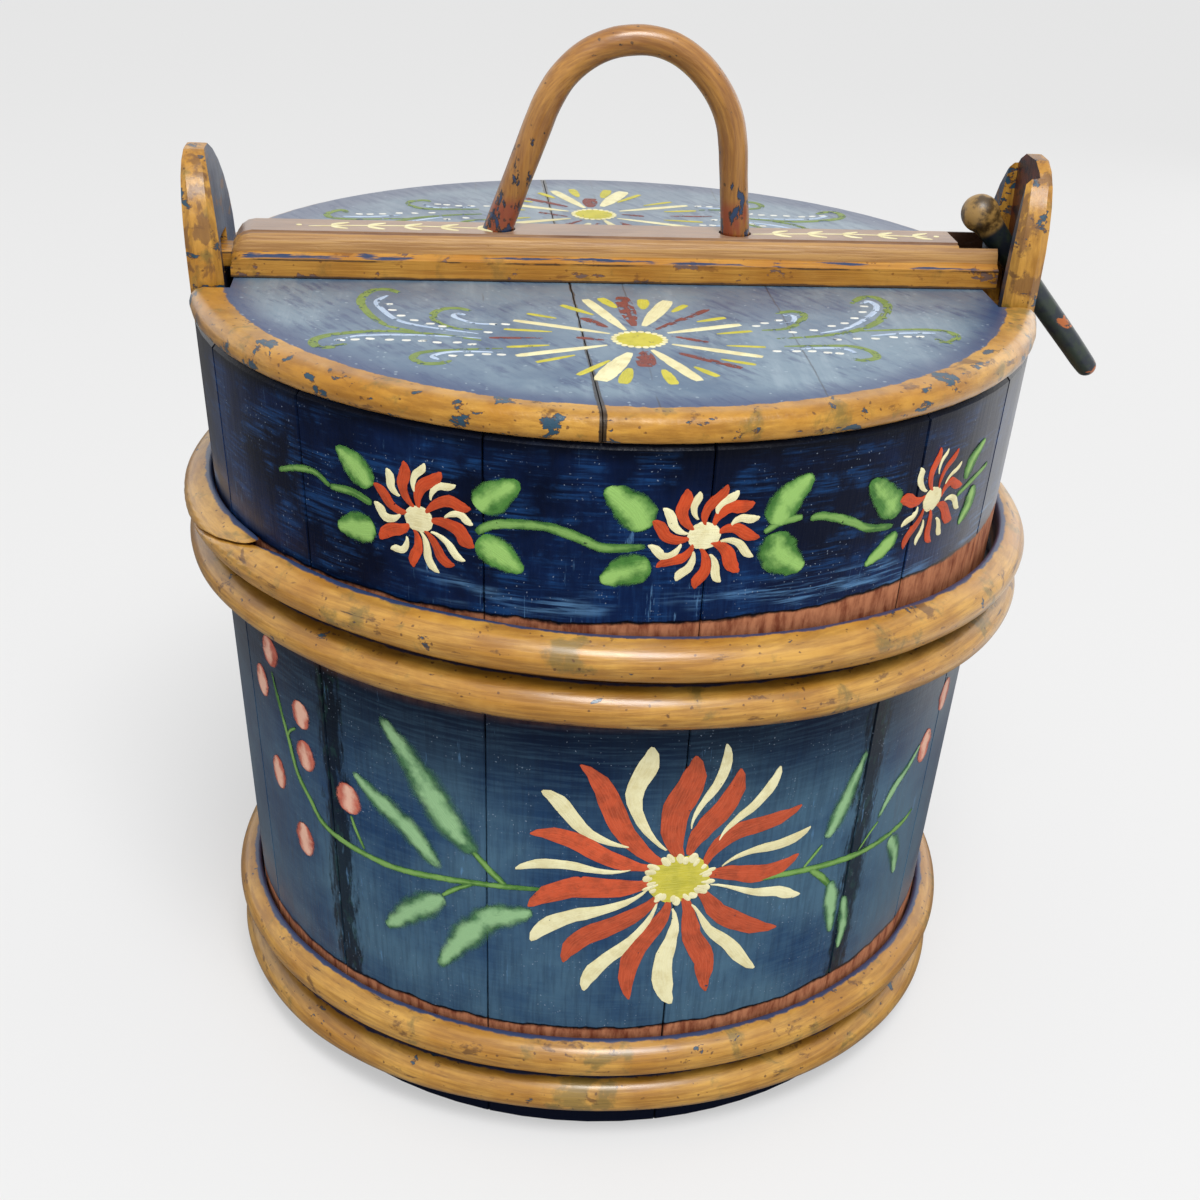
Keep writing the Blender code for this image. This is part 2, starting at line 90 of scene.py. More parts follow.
def copyOfNode(node, name, degrees=35):  # a merged copy of a CAD node, which it replaces
    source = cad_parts[node]
    piece = bpy.data.objects.new(name, source.data.copy())
    bpy.context.scene.collection.objects.link(piece)
    piece.data.materials.clear()
    onlyActive(piece)
    bpy.ops.object.mode_set(mode="EDIT")
    bpy.ops.mesh.select_all(action="SELECT")
    bpy.ops.mesh.remove_doubles(threshold=2e-6)
    bpy.ops.mesh.tris_convert_to_quads(face_threshold=math.radians(3), shape_threshold=math.radians(60))
    bpy.ops.object.mode_set(mode="OBJECT")
    if piece.data.has_custom_normals:
        bpy.ops.mesh.customdata_custom_splitnormals_clear()
    smoothBy(piece, degrees)
    return piece


def finishPiece(piece, body, slot, material, *nodes):
    piece.data.materials.clear()
    piece.data.materials.append(material)
    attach(piece, body)
    if nodes:
        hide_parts(*nodes)


def storeValues(mesh, name, values):
    layer = mesh.attributes.new(name, "FLOAT", "POINT")
    layer.data.foreach_set("value", values)


# ---------- small helpers for materials ----------

def colour(red, green, blue):  # 0-255 as seen on a screen
    def level(value):
        value /= 255
        return value / 12.92 if value <= 0.04045 else ((value + 0.055) / 1.055) ** 2.4
    return (level(red), level(green), level(blue), 1)


def put(tree, kind, inputs=None, **settings):
    node = tree.nodes.new("ShaderNode" + kind)
    for key, value in settings.items():
        setattr(node, key, value)
    for key, value in (inputs or {}).items():
        if isinstance(value, bpy.types.NodeSocket):
            tree.links.new(value, node.inputs[key])
        else:
            node.inputs[key].default_value = value
    return node


def math2(tree, operation, a, b=0.0, clamp=False):
    return put(tree, "Math", {0: a, 1: b}, operation=operation, use_clamp=clamp).outputs[0]


def rise(tree, value, low, high):  # 0 below low, 1 above high, smooth between
    node = put(tree, "MapRange", {"Value": value, "From Min": low, "From Max": high}, interpolation_type="SMOOTHSTEP")
    return node.outputs["Result"]


def inside(tree, value, low, high, soft):  # 1 between low and high
    up = rise(tree, value, low - soft, low + soft)
    down = rise(tree, value, high + soft, high - soft)
    return math2(tree, "MULTIPLY", up, down)


def times(tree, *masks):
    result = masks[0]
    for mask in masks[1:]:
        result = math2(tree, "MULTIPLY", result, mask)
    return result


def layer(tree, mask, under, over):
    node = put(tree, "Mix", {"Factor": mask}, data_type="RGBA")
    for socket, value in (("A_Color", under), ("B_Color", over)):
        target = next(item for item in node.inputs if item.identifier == socket)
        if isinstance(value, bpy.types.NodeSocket):
            tree.links.new(value, target)
        else:
            target.default_value = value
    return next(item for item in node.outputs if item.identifier == "Result_Color")


def scaled(tree, vector, x, y, z):
    return put(tree, "VectorMath", {0: vector, 1: (x, y, z)}, operation="MULTIPLY").outputs[0]


def noiseOf(tree, vector, scale, detail=4.0, rough=0.55, distort=0.0):
    inputs = {"Vector": vector, "Scale": scale, "Detail": detail, "Roughness": rough, "Distortion": distort}
    return put(tree, "TexNoise", inputs).outputs["Fac"]


def newGroup(name, inputs, outputs):
    tree = bpy.data.node_groups.new(name, "ShaderNodeTree")
    for label, kind, value in inputs:
        socket = tree.interface.new_socket(name=label, in_out="INPUT", socket_type="NodeSocket" + kind)
        if value is not None:
            socket.default_value = value
    for label, kind in outputs:
        tree.interface.new_socket(name=label, in_out="OUTPUT", socket_type="NodeSocket" + kind)
    return tree, tree.nodes.new("NodeGroupInput").outputs, tree.nodes.new("NodeGroupOutput").inputs


def useGroup(tree, group, **inputs):
    node = tree.nodes.new("ShaderNodeGroup")
    node.node_tree = group
    for key, value in inputs.items():
        if isinstance(value, bpy.types.NodeSocket):
            tree.links.new(value, node.inputs[key])
        else:
            node.inputs[key].default_value = value
    return node.outputs


def newMaterial(name):
    material = bpy.data.materials.new(name)
    material.use_nodes = True
    tree = material.node_tree
    shader = tree.nodes["Principled BSDF"]
    place = put(tree, "TexCoord").outputs["Object"]
    return material, tree, shader, place


def setShader(tree, shader, base, rough, height=None, strength=0.3, depth=0.0003, alpha=None, **fixed):
    tree.links.new(base, shader.inputs["Base Color"])
    tree.links.new(rough, shader.inputs["Roughness"])
    for key, value in fixed.items():
        shader.inputs[key.replace("_", " ")].default_value = value
    if height is not None:
        inputs = {"Height": height, "Strength": strength, "Distance": depth}
        tree.links.new(put(tree, "Bump", inputs).outputs["Normal"], shader.inputs["Normal"])
    if alpha is not None:
        tree.links.new(alpha, shader.inputs["Alpha"])


def sheen(tree, shader, most, low=0.50, high=0.95):  # gloss that shows only where the surface turns away
    facing = put(tree, "LayerWeight", {"Blend": 0.5}).outputs["Facing"]
    tree.links.new(times(tree, rise(tree, facing, low, high), most), shader.inputs["Coat Weight"])


# ---------- shared effects ----------

def makeTubPlace():
    tree, _, out = newGroup("tubPlace", [], [("Angle", "Float"), ("Height", "Float"), ("Depth", "Float"), ("Middle", "Vector")])
    place = put(tree, "TexCoord").outputs["Object"]
    middle = put(tree, "Mapping", {"Vector": place, "Location": (-tub["axisX"], 0, 0)}).outputs[0]
    parts = put(tree, "SeparateXYZ", {0: middle}).outputs
    angle = math2(tree, "MULTIPLY", math2(tree, "ARCTAN2", parts["Y"], parts["X"]), 180 / math.pi)
    height = math2(tree, "MULTIPLY", parts["Z"], 1000)
    radius = math2(tree, "SQRT", math2(tree, "ADD", math2(tree, "MULTIPLY", parts["X"], parts["X"]),
                                       math2(tree, "MULTIPLY", parts["Y"], parts["Y"])))
    slope = tub["taper"] / tub["height"]
    wall = math2(tree, "ADD", math2(tree, "MULTIPLY", parts["Z"], slope), tub["rimRadius"] - tub["taper"])
    depth = math2(tree, "MULTIPLY", math2(tree, "SUBTRACT", wall, radius), 1000)  # mm in from the outer wall
    for key, value in (("Angle", angle), ("Height", height), ("Depth", depth), ("Middle", middle)):
        tree.links.new(value, out[key])
    return tree


def makeStreaks():  # brush lines or grain: noise drawn out along one way
    tree, given, out = newGroup("streaks", [("Vector", "Vector", None), ("Low", "Float", 0.4), ("High", "Float", 0.6)],
                                [("Mask", "Float")])
    fine = noiseOf(tree, given["Vector"], 1.0, 6, 0.62)
    node = put(tree, "MapRange", {"Value": fine, "From Min": given["Low"], "From Max": given["High"]},
               interpolation_type="SMOOTHSTEP")
    tree.links.new(node.outputs["Result"], out["Mask"])
    return tree


def makeSpots():  # chips and worn patches with ragged edges
    tree, given, out = newGroup("wornSpots", [("Vector", "Vector", None), ("Size", "Float", 120.0),
                                              ("Amount", "Float", 0.3), ("Soft", "Float", 0.02)], [("Mask", "Float")])
    base = put(tree, "TexNoise", {"Vector": given["Vector"], "Scale": given["Size"], "Detail": 7.0, "Roughness": 0.62,
                                  "Distortion": 0.3}).outputs["Fac"]
    edge = math2(tree, "SUBTRACT", 0.78, math2(tree, "MULTIPLY", given["Amount"], 0.5))
    high = math2(tree, "ADD", edge, given["Soft"])
    node = put(tree, "MapRange", {"Value": base, "From Min": edge, "From Max": high}, interpolation_type="SMOOTHSTEP")
    tree.links.new(node.outputs["Result"], out["Mask"])
    return tree


def makeSpecks():  # dust, pits and tiny losses
    tree, given, out = newGroup("specks", [("Vector", "Vector", None), ("Size", "Float", 900.0), ("Amount", "Float", 0.2)],
                                [("Mask", "Float")])
    wobble = put(tree, "TexNoise", {"Vector": given["Vector"], "Scale": 700.0, "Detail": 2.0}).outputs["Color"]
    moved = put(tree, "VectorMath", {0: wobble, "Scale": 0.0012}, operation="SCALE").outputs[0]
    moved = put(tree, "VectorMath", {0: moved, 1: given["Vector"]}, operation="ADD").outputs[0]
    cells = put(tree, "TexVoronoi", {"Vector": moved, "Scale": given["Size"], "Randomness": 1.0})
    pick = put(tree, "SeparateColor", {0: cells.outputs["Color"]}).outputs[0]
    chosen = math2(tree, "LESS_THAN", pick, given["Amount"])
    near = rise(tree, cells.outputs["Distance"], 0.32, 0.2)
    tree.links.new(times(tree, chosen, near), out["Mask"])
    return tree


tubPlace = makeTubPlace()
streaks = makeStreaks()
wornSpots = makeSpots()
specks = makeSpecks()


# ---------- materials ----------

wallLook = {
    "navy": colour(8, 30, 70),
    "navyLight": colour(26, 74, 130),
    "navyDark": colour(4, 12, 34),
    "blue": colour(30, 60, 96),
    "blueLight": colour(74, 106, 128),
    "blueDark": colour(7, 20, 44),
    "rub": colour(96, 142, 186),
    "dust": colour(150, 166, 186),
    # near black for the dark joints and the edges of the bare strips, also used as painted shade under the lid and the
    # upper hoops
    "seam": colour(3, 5, 14),
    "bandDark": colour(5, 12, 24),
    "bandGreen": colour(20, 44, 40),
    "wood": colour(184, 122, 88),
    "woodDark": colour(120, 62, 42),
    "inner": colour(158, 122, 84),
    "innerDark": colour(110, 78, 50),
    "bareTop": 185.8,   # mm, where the upper band's paint stops above the hoops
    "bareLow": 41.0,
    "darkBands": (-135.2, -52.0),
    "roughness": 0.40,
}


def wallCoat(tree, place):  # colour, roughness, relief and gloss of the painted wall
    look = wallLook
    at = useGroup(tree, tubPlace)
    angle, height, depth = at["Angle"], at["Height"], at["Depth"]
    cloud = noiseOf(tree, place, 22, 5, 0.6)
    cloudFine = noiseOf(tree, place, 90, 5, 0.6)
    brushed = useGroup(tree, streaks, Vector=scaled(tree, place, 55, 55, 900), Low=0.42, High=0.66)["Mask"]
    grain = useGroup(tree, streaks, Vector=scaled(tree, place, 900, 900, 38), Low=0.40, High=0.68)["Mask"]
    upper = layer(tree, rise(tree, cloud, 0.38, 0.66), look["navyDark"], look["navy"])
    upper = layer(tree, times(tree, brushed, rise(tree, cloudFine, 0.42, 0.62), 0.55), upper, look["navyLight"])
    upper = layer(tree, times(tree, grain, rise(tree, cloud, 0.5, 0.7), 0.3), upper, look["navyLight"])
    lower = layer(tree, rise(tree, cloud, 0.30, 0.70), look["blue"], look["blueLight"])
    # painted shade: the lower band is darkened towards its top, beneath the upper hoops
    lower = layer(tree, times(tree, rise(tree, height, 108, 150), 0.88), lower, look["blueDark"])
    lower = layer(tree, times(tree, brushed, 0.22), lower, look["blueLight"])
    lower = layer(tree, times(tree, grain, 0.25), lower, look["blueDark"])
    paint = layer(tree, rise(tree, height, 160, 168), lower, upper)
    # the dark, paint-lost strips beside two of the joints
    for middle in look["darkBands"]:
        ragged = math2(tree, "MULTIPLY", math2(tree, "SUBTRACT", noiseOf(tree, scaled(tree, place, 420, 420, 90), 1, 6, 0.7), 0.5), 9.0)
        off = math2(tree, "ABSOLUTE", math2(tree, "SUBTRACT", math2(tree, "ADD", angle, ragged), middle))
        strip = times(tree, rise(tree, off, 2.9, 1.3), rise(tree, height, 168, 160))
        mottled = useGroup(tree, wornSpots, Vector=scaled(tree, place, 1, 1, 0.5), Size=300, Amount=0.50, Soft=0.08)["Mask"]
        stripPaint = layer(tree, mottled, look["bandDark"], look["bandGreen"])
        paint = layer(tree, times(tree, strip, 0.85), paint, stripPaint)
    # rubbed pale-blue scuffs low on the upper band
    scuffPlace = rise(tree, noiseOf(tree, scaled(tree, place, 26, 26, 60), 1, 3, 0.5), 0.50, 0.62)
    scuff = times(tree, inside(tree, height, 188, 196, 3.0), scuffPlace, brushed, 0.75)
    paint = layer(tree, scuff, paint, look["rub"])
    scratch = useGroup(tree, streaks, Vector=scaled(tree, place, 700, 700, 60), Low=0.63, High=0.70)["Mask"]
    paint = layer(tree, times(tree, scratch, rise(tree, cloud, 0.5, 0.6), 0.5), paint, look["rub"])
    dust = useGroup(tree, specks, Vector=place, Size=1500, Amount=0.10)["Mask"]
    paint = layer(tree, times(tree, dust, rise(tree, cloudFine, 0.44, 0.60), 0.55), paint, look["dust"])
    # bare wood where the hoops once sat, a wider strip of it at the right
    ragged = math2(tree, "MULTIPLY", math2(tree, "SUBTRACT", noiseOf(tree, scaled(tree, place, 1, 1, 2), 70, 6, 0.62), 0.5), 4.4)
    across = put(tree, "SeparateXYZ", {0: at["Middle"]}).outputs["X"]
    wobbly = math2(tree, "ADD", math2(tree, "ADD", height, ragged), math2(tree, "MULTIPLY", across, -18.0))
    bareUpper = times(tree, rise(tree, wobbly, look["bareTop"] + 0.5, look["bareTop"] - 0.5), rise(tree, height, 150, 160))
    bareLower = rise(tree, wobbly, look["bareLow"] + 0.5, look["bareLow"] - 0.5)
    rim = math2(tree, "MAXIMUM",
                times(tree, rise(tree, wobbly, look["bareTop"] + 1.1, look["bareTop"] + 0.6), rise(tree, height, 150, 160)),
                rise(tree, wobbly, look["bareLow"] + 1.1, look["bareLow"] + 0.6))
    paint = layer(tree, rim, paint, look["seam"])
    bareGrain = useGroup(tree, streaks, Vector=scaled(tree, place, 420, 420, 110), Low=0.36, High=0.72)["Mask"]
    bare = layer(tree, bareGrain, look["wood"], look["woodDark"])
    bareMask = math2(tree, "MAXIMUM", bareUpper, bareLower)
    paint = layer(tree, bareMask, paint, bare)
    lowest = rise(tree, height, 11, 8)
    paint = layer(tree, lowest, paint, look["navyDark"])
    # painted shade, near black, under the lid's rim and under the upper hoops
    paint = layer(tree, times(tree, rise(tree, height, 231.5, 236.5), 0.85), paint, look["seam"])
    paint = layer(tree, times(tree, inside(tree, height, 152, 166, 6), 0.7), paint, look["seam"])
    # dark joints
    fromEdge = put(tree, "Attribute", attribute_name="fromEdge").outputs["Fac"]
    filled = rise(tree, noiseOf(tree, scaled(tree, place, 60, 60, 26), 1, 4, 0.6), 0.44, 0.56)
    joint = rise(tree, fromEdge, 0.30, 0.10)
    paint = layer(tree, times(tree, joint, filled, 0.8), paint, look["seam"])
    # unpainted inside
    innerMask = rise(tree, depth, 3.6, 4.2)
    innerWood = layer(tree, bareGrain, look["inner"], look["innerDark"])
    paint = layer(tree, innerMask, paint, innerWood)
    rough = math2(tree, "ADD", look["roughness"], math2(tree, "MULTIPLY", math2(tree, "SUBTRACT", grain, 0.5), 0.16))
    rough = math2(tree, "ADD", rough, math2(tree, "MULTIPLY", math2(tree, "MAXIMUM", bareMask, innerMask), 0.25))
    relief = math2(tree, "ADD", math2(tree, "MULTIPLY", grain, 0.5), math2(tree, "MULTIPLY", brushed, 0.35))
    relief = math2(tree, "SUBTRACT", relief, math2(tree, "MULTIPLY", bareMask, 0.8))
    gloss = math2(tree, "ADD", 0.62, math2(tree, "MULTIPLY", grain, 0.38))
    return paint, rough, relief, times(tree, gloss, math2(tree, "SUBTRACT", 1, math2(tree, "MAXIMUM", bareMask, innerMask)))


def makeWallPaint():
    material, tree, shader, place = newMaterial("wall_paint")
    paint, rough, relief, gloss = wallCoat(tree, place)
    setShader(tree, shader, paint, rough, relief, 0.35, 0.0002, Specular_IOR_Level=0.09, Coat_Roughness=0.30)
    sheen(tree, shader, gloss, 0.40, 0.72)
    return material


ochreLook = {
    "ochre": colour(178, 124, 40),
    "ochreLight": colour(206, 156, 68),
    "ochreDark": colour(116, 70, 14),
    "brown": colour(84, 50, 24),
    "olive": colour(92, 88, 44),
    "blue": colour(40, 72, 92),
    "innerBlue": colour(44, 60, 96),
    # near black for dirt in the paint's cracks, also used as painted shade under the hoops
    "grimeAndShade": colour(26, 18, 14),
    "roughness": 0.36,
}


def ochreBase(tree, place, grainVector, look, chips=0.22):  # colour, roughness and relief of the ochre paint
    cloud = noiseOf(tree, place, 34, 5, 0.6)
    lines = useGroup(tree, streaks, Vector=grainVector, Low=0.36, High=0.66)["Mask"]
    paint = layer(tree, rise(tree, cloud, 0.35, 0.65), look["ochre"], look["ochreLight"])
    paint = layer(tree, times(tree, lines, 0.5), paint, look["ochreDark"])
    olive = useGroup(tree, wornSpots, Vector=place, Size=70, Amount=0.44, Soft=0.10)["Mask"]
    paint = layer(tree, times(tree, olive, 0.6), paint, look["olive"])
    brown = useGroup(tree, wornSpots, Vector=scaled(tree, place, 1, 1, 2.2), Size=90, Amount=0.34, Soft=0.06)["Mask"]
    paint = layer(tree, times(tree, brown, 0.7), paint, look["brown"])
    chip = useGroup(tree, wornSpots, Vector=scaled(tree, place, 1, 1, 1.8), Size=110, Amount=chips, Soft=0.012)["Mask"]
    chipRim = useGroup(tree, wornSpots, Vector=scaled(tree, place, 1, 1, 1.8), Size=110, Amount=chips + 0.03, Soft=0.012)["Mask"]
    paint = layer(tree, chipRim, paint, look["brown"])
    paint = layer(tree, chip, paint, look["blue"])
    cracks = useGroup(tree, streaks, Vector=grainVector, Low=0.64, High=0.69)["Mask"]
    paint = layer(tree, times(tree, cracks, rise(tree, cloud, 0.44, 0.56), 0.8), paint, look["grimeAndShade"])
    pits = useGroup(tree, specks, Vector=place, Size=620, Amount=0.10)["Mask"]
    paint = layer(tree, times(tree, pits, 0.75), paint, look["brown"])
    rough = math2(tree, "ADD", look["roughness"] - 0.06, math2(tree, "MULTIPLY", cloud, 0.16))
    relief = math2(tree, "SUBTRACT", math2(tree, "MULTIPLY", lines, -0.5), math2(tree, "MULTIPLY", chip, 0.8))
    return paint, rough, relief


def makeHoopPaint():
    look = ochreLook
    material, tree, shader, place = newMaterial("hoop_paint")
    paint, rough, relief = ochreBase(tree, place, scaled(tree, place, 60, 60, 900), look)
    outward = put(tree, "Attribute", attribute_name="outward").outputs["Fac"]   # mm from the hoop's inner face
    above = put(tree, "Attribute", attribute_name="above").outputs["Fac"]       # mm above the hoop's middle
    ragged = math2(tree, "MULTIPLY", math2(tree, "SUBTRACT", noiseOf(tree, place, 160, 5, 0.6), 0.5), 2.6)
    innerTop = times(tree, rise(tree, math2(tree, "ADD", outward, ragged), 3.3, 2.6), rise(tree, above, -1.0, 1.0))
    paint = layer(tree, innerTop, paint, look["innerBlue"])
    # painted shade: the lower part of each hoop is painted brown
    under = times(tree, rise(tree, math2(tree, "ADD", above, ragged), -1.6, -5.6), 0.75)
    paint = layer(tree, under, paint, look["brown"])
    # painted shade: near black along each hoop's lowest edge, so the gap between the hoops reads dark
    grimeAndShade = times(tree, rise(tree, math2(tree, "ADD", above, math2(tree, "MULTIPLY", ragged, 0.4)), -4.0, -5.4), 0.95)
    paint = layer(tree, grimeAndShade, paint, look["grimeAndShade"])
    setShader(tree, shader, paint, rough, relief, 0.4, 0.0003, Coat_Weight=0.6, Coat_Roughness=0.22)
    return material


lidLook = {
    "blue": colour(70, 98, 126),
    "blueDark": colour(20, 50, 98),
    "blueLight": colour(108, 132, 150),
    "pale": colour(160, 178, 190),
    "crack": colour(10, 9, 10),
    "rimStart": 120.8,   # mm from the middle, where the ochre rim starts
    "roughness": 0.42,
}


def makeLidPaint():
    look = lidLook
    material, tree, shader, place = newMaterial("lid_paint")
    at = useGroup(tree, tubPlace)
    middle = at["Middle"]
    parts = put(tree, "SeparateXYZ", {0: middle}).outputs
    flat = put(tree, "CombineXYZ", {0: parts["X"], 1: parts["Y"], 2: 0.0}).outputs[0]
    radius = math2(tree, "MULTIPLY", put(tree, "VectorMath", {0: flat}, operation="LENGTH").outputs["Value"], 1000)
    cloud = noiseOf(tree, place, 26, 5, 0.62)
    turned = put(tree, "Mapping", {"Vector": place, "Rotation": (0, 0, math.radians(58))}).outputs[0]
    brushed = useGroup(tree, streaks, Vector=scaled(tree, turned, 90, 420, 200), Low=0.44, High=0.66)["Mask"]
    grain = useGroup(tree, streaks, Vector=scaled(tree, place, 260, 26, 200), Low=0.46, High=0.70)["Mask"]
    patch = rise(tree, noiseOf(tree, place, 60, 5, 0.62), 0.42, 0.60)
    paint = layer(tree, rise(tree, cloud, 0.36, 0.64), look["blue"], look["blueLight"])
    paint = layer(tree, times(tree, brushed, patch, 0.7), paint, look["blueDark"])
    paint = layer(tree, times(tree, grain, rise(tree, cloud, 0.44, 0.6), 0.3), paint, look["pale"])
    ragged = math2(tree, "MULTIPLY", math2(tree, "SUBTRACT", noiseOf(tree, place, 190, 6, 0.68), 0.5), 3.6)
    far = math2(tree, "ADD", radius, ragged)
    nearRim = rise(tree, far, look["rimStart"] - 11, look["rimStart"] - 1)
    paint = layer(tree, times(tree, nearRim, 0.8), paint, look["blueDark"])
    dust = useGroup(tree, specks, Vector=place, Size=560, Amount=0.10)["Mask"]
    paint = layer(tree, times(tree, dust, 0.5), paint, look["pale"])
    # hair cracks along the boards
    for offset, wander in ((-0.0420, 0.0012), (0.0012, 0.0010), (0.0460, 0.0012)):
        bend = math2(tree, "MULTIPLY", math2(tree, "SUBTRACT", noiseOf(tree, scaled(tree, place, 4, 30, 1), 1, 5, 0.6), 0.5), wander * 2.4)
        off = math2(tree, "ABSOLUTE", math2(tree, "SUBTRACT", math2(tree, "ADD", parts["X"], bend), offset))
        hair = times(tree, rise(tree, off, 0.00035, 0.00008), rise(tree, noiseOf(tree, scaled(tree, place, 10, 26, 1), 1, 2, 0.5), 0.47, 0.55))
        paint = layer(tree, times(tree, hair, 0.6), paint, look["crack"])
    seamLine = math2(tree, "ADD", parts["X"], math2(tree, "MULTIPLY", parts["Y"], math.tan(math.radians(0.6))))
    jag = math2(tree, "MULTIPLY", math2(tree, "SUBTRACT", noiseOf(tree, scaled(tree, place, 30, 150, 30), 1, 5, 0.6), 0.5), 0.0016)
    offSeam = math2(tree, "ABSOLUTE", math2(tree, "ADD", math2(tree, "ADD", seamLine, 0.0152), jag))
    gape = math2(tree, "ADD", 0.00035, math2(tree, "MULTIPLY", rise(tree, math2(tree, "ABSOLUTE", parts["Y"]), 0.06, 0.13), 0.0006))
    crack = rise(tree, math2(tree, "SUBTRACT", offSeam, gape), 0.00022, -0.0001)
    rimPaint, rimRough, rimRelief = ochreBase(tree, place, scaled(tree, place, 90, 90, 500), ochreLook, 0.36)
    start = math2(tree, "ADD", look["rimStart"], math2(tree, "MULTIPLY", rise(tree, parts["Y"], 0.01, 0.05), 6.2))
    rimMask = rise(tree, math2(tree, "SUBTRACT", far, start), -0.25, 0.25)
    paint = layer(tree, rimMask, paint, rimPaint)
    paint = layer(tree, times(tree, crack, 0.92), paint, look["crack"])
    below = rise(tree, at["Height"], 238.6, 238.2)
    wood = layer(tree, grain, wallLook["inner"], wallLook["innerDark"])
    paint = layer(tree, below, paint, wood)
    rough = math2(tree, "ADD", look["roughness"], math2(tree, "MULTIPLY", math2(tree, "SUBTRACT", brushed, 0.5), 0.14))
    relief = math2(tree, "ADD", math2(tree, "MULTIPLY", brushed, 0.4), math2(tree, "MULTIPLY", rimRelief, rimMask))
    relief = math2(tree, "ADD", relief, math2(tree, "MULTIPLY", grain, 0.3))
    setShader(tree, shader, paint, rough, relief, 0.35, 0.0003, Specular_IOR_Level=0.35, Coat_Roughness=0.36)
    sheen(tree, shader, 1.0, 0.15, 0.60)
    return material


barLook = {
    "top": colour(152, 120, 96),
    "topDark": colour(120, 86, 68),
    "bead": colour(182, 138, 80),
    "ledge": colour(34, 56, 92),
    "fascia": colour(178, 112, 32),
    "fasciaDark": colour(110, 62, 26),
    "edge": colour(30, 22, 26),
    "slot": colour(84, 58, 42),
    "roughness": 0.36,
}


def makeBarPaint():
    look = barLook
    material, tree, shader, place = newMaterial("bar_paint")
    parts = put(tree, "SeparateXYZ", {0: place}).outputs
    side = math2(tree, "MULTIPLY", math2(tree, "ABSOLUTE", parts["Y"]), 1000)
    up = math2(tree, "MULTIPLY", math2(tree, "SUBTRACT", parts["Z"], 0.2462), 1000)
    ragged = math2(tree, "MULTIPLY", math2(tree, "SUBTRACT", noiseOf(tree, scaled(tree, place, 60, 300, 300), 1, 6, 0.66), 0.5), 1.6)
    lines = useGroup(tree, streaks, Vector=scaled(tree, place, 34, 900, 900), Low=0.36, High=0.66)["Mask"]
    cloud = noiseOf(tree, scaled(tree, place, 1, 3, 3), 30, 5, 0.6)
    top = layer(tree, rise(tree, cloud, 0.36, 0.66), look["top"], look["topDark"])
    top = layer(tree, times(tree, lines, 0.35), top, look["bead"])
    fascia, rough, relief = ochreBase(tree, place, scaled(tree, place, 34, 900, 900), ochreLook, 0.28)
    fascia = layer(tree, 0.35, fascia, look["fascia"])
    bead = layer(tree, times(tree, lines, 0.5), look["bead"], look["fasciaDark"])
    paint = layer(tree, rise(tree, math2(tree, "ADD", up, ragged), 7.2, 7.6), fascia, bead)
    paint = layer(tree, times(tree, inside(tree, math2(tree, "ADD", up, ragged), 5.9, 7.3, 0.25),
                              rise(tree, noiseOf(tree, scaled(tree, place, 46, 500, 500), 1, 4, 0.6), 0.53, 0.59)), paint, look["ledge"])
    topMask = times(tree, rise(tree, math2(tree, "ADD", side, ragged), 8.3, 7.9), rise(tree, up, 11.0, 11.4))
    paint = layer(tree, topMask, paint, top)
    edges = math2(tree, "MAXIMUM", rise(tree, math2(tree, "ADD", up, ragged), 0.9, 0.3),
                  times(tree, inside(tree, math2(tree, "ADD", up, math2(tree, "MULTIPLY", ragged, 0.6)), 5.2, 5.7, 0.2),
                        rise(tree, noiseOf(tree, scaled(tree, place, 50, 300, 300), 1, 4, 0.6), 0.46, 0.54)))
    paint = layer(tree, times(tree, edges, 0.85), paint, look["edge"])
    # painted shade: the inside of the fork slot at the bar's right end is painted dark brown, as the shadow beneath the
    # knob
    slot = times(tree, rise(tree, parts["X"], 0.0947, 0.0951), rise(tree, side, 9.4, 9.0))
    paint = layer(tree, slot, paint, look["slot"])
    setShader(tree, shader, paint, rough, relief, 0.4, 0.0003, Specular_IOR_Level=0.4, Coat_Roughness=0.28)
    sheen(tree, shader, 1.0, 0.20, 0.60)
    return material


handleLook = {
    "ochre": colour(152, 100, 36),
    "ochreLight": colour(184, 130, 56),
    "red": colour(104, 56, 24),
    "bare": colour(140, 58, 34),
    "dark": colour(40, 28, 22),
    "blue": colour(32, 66, 108),
    "roughness": 0.34,
}


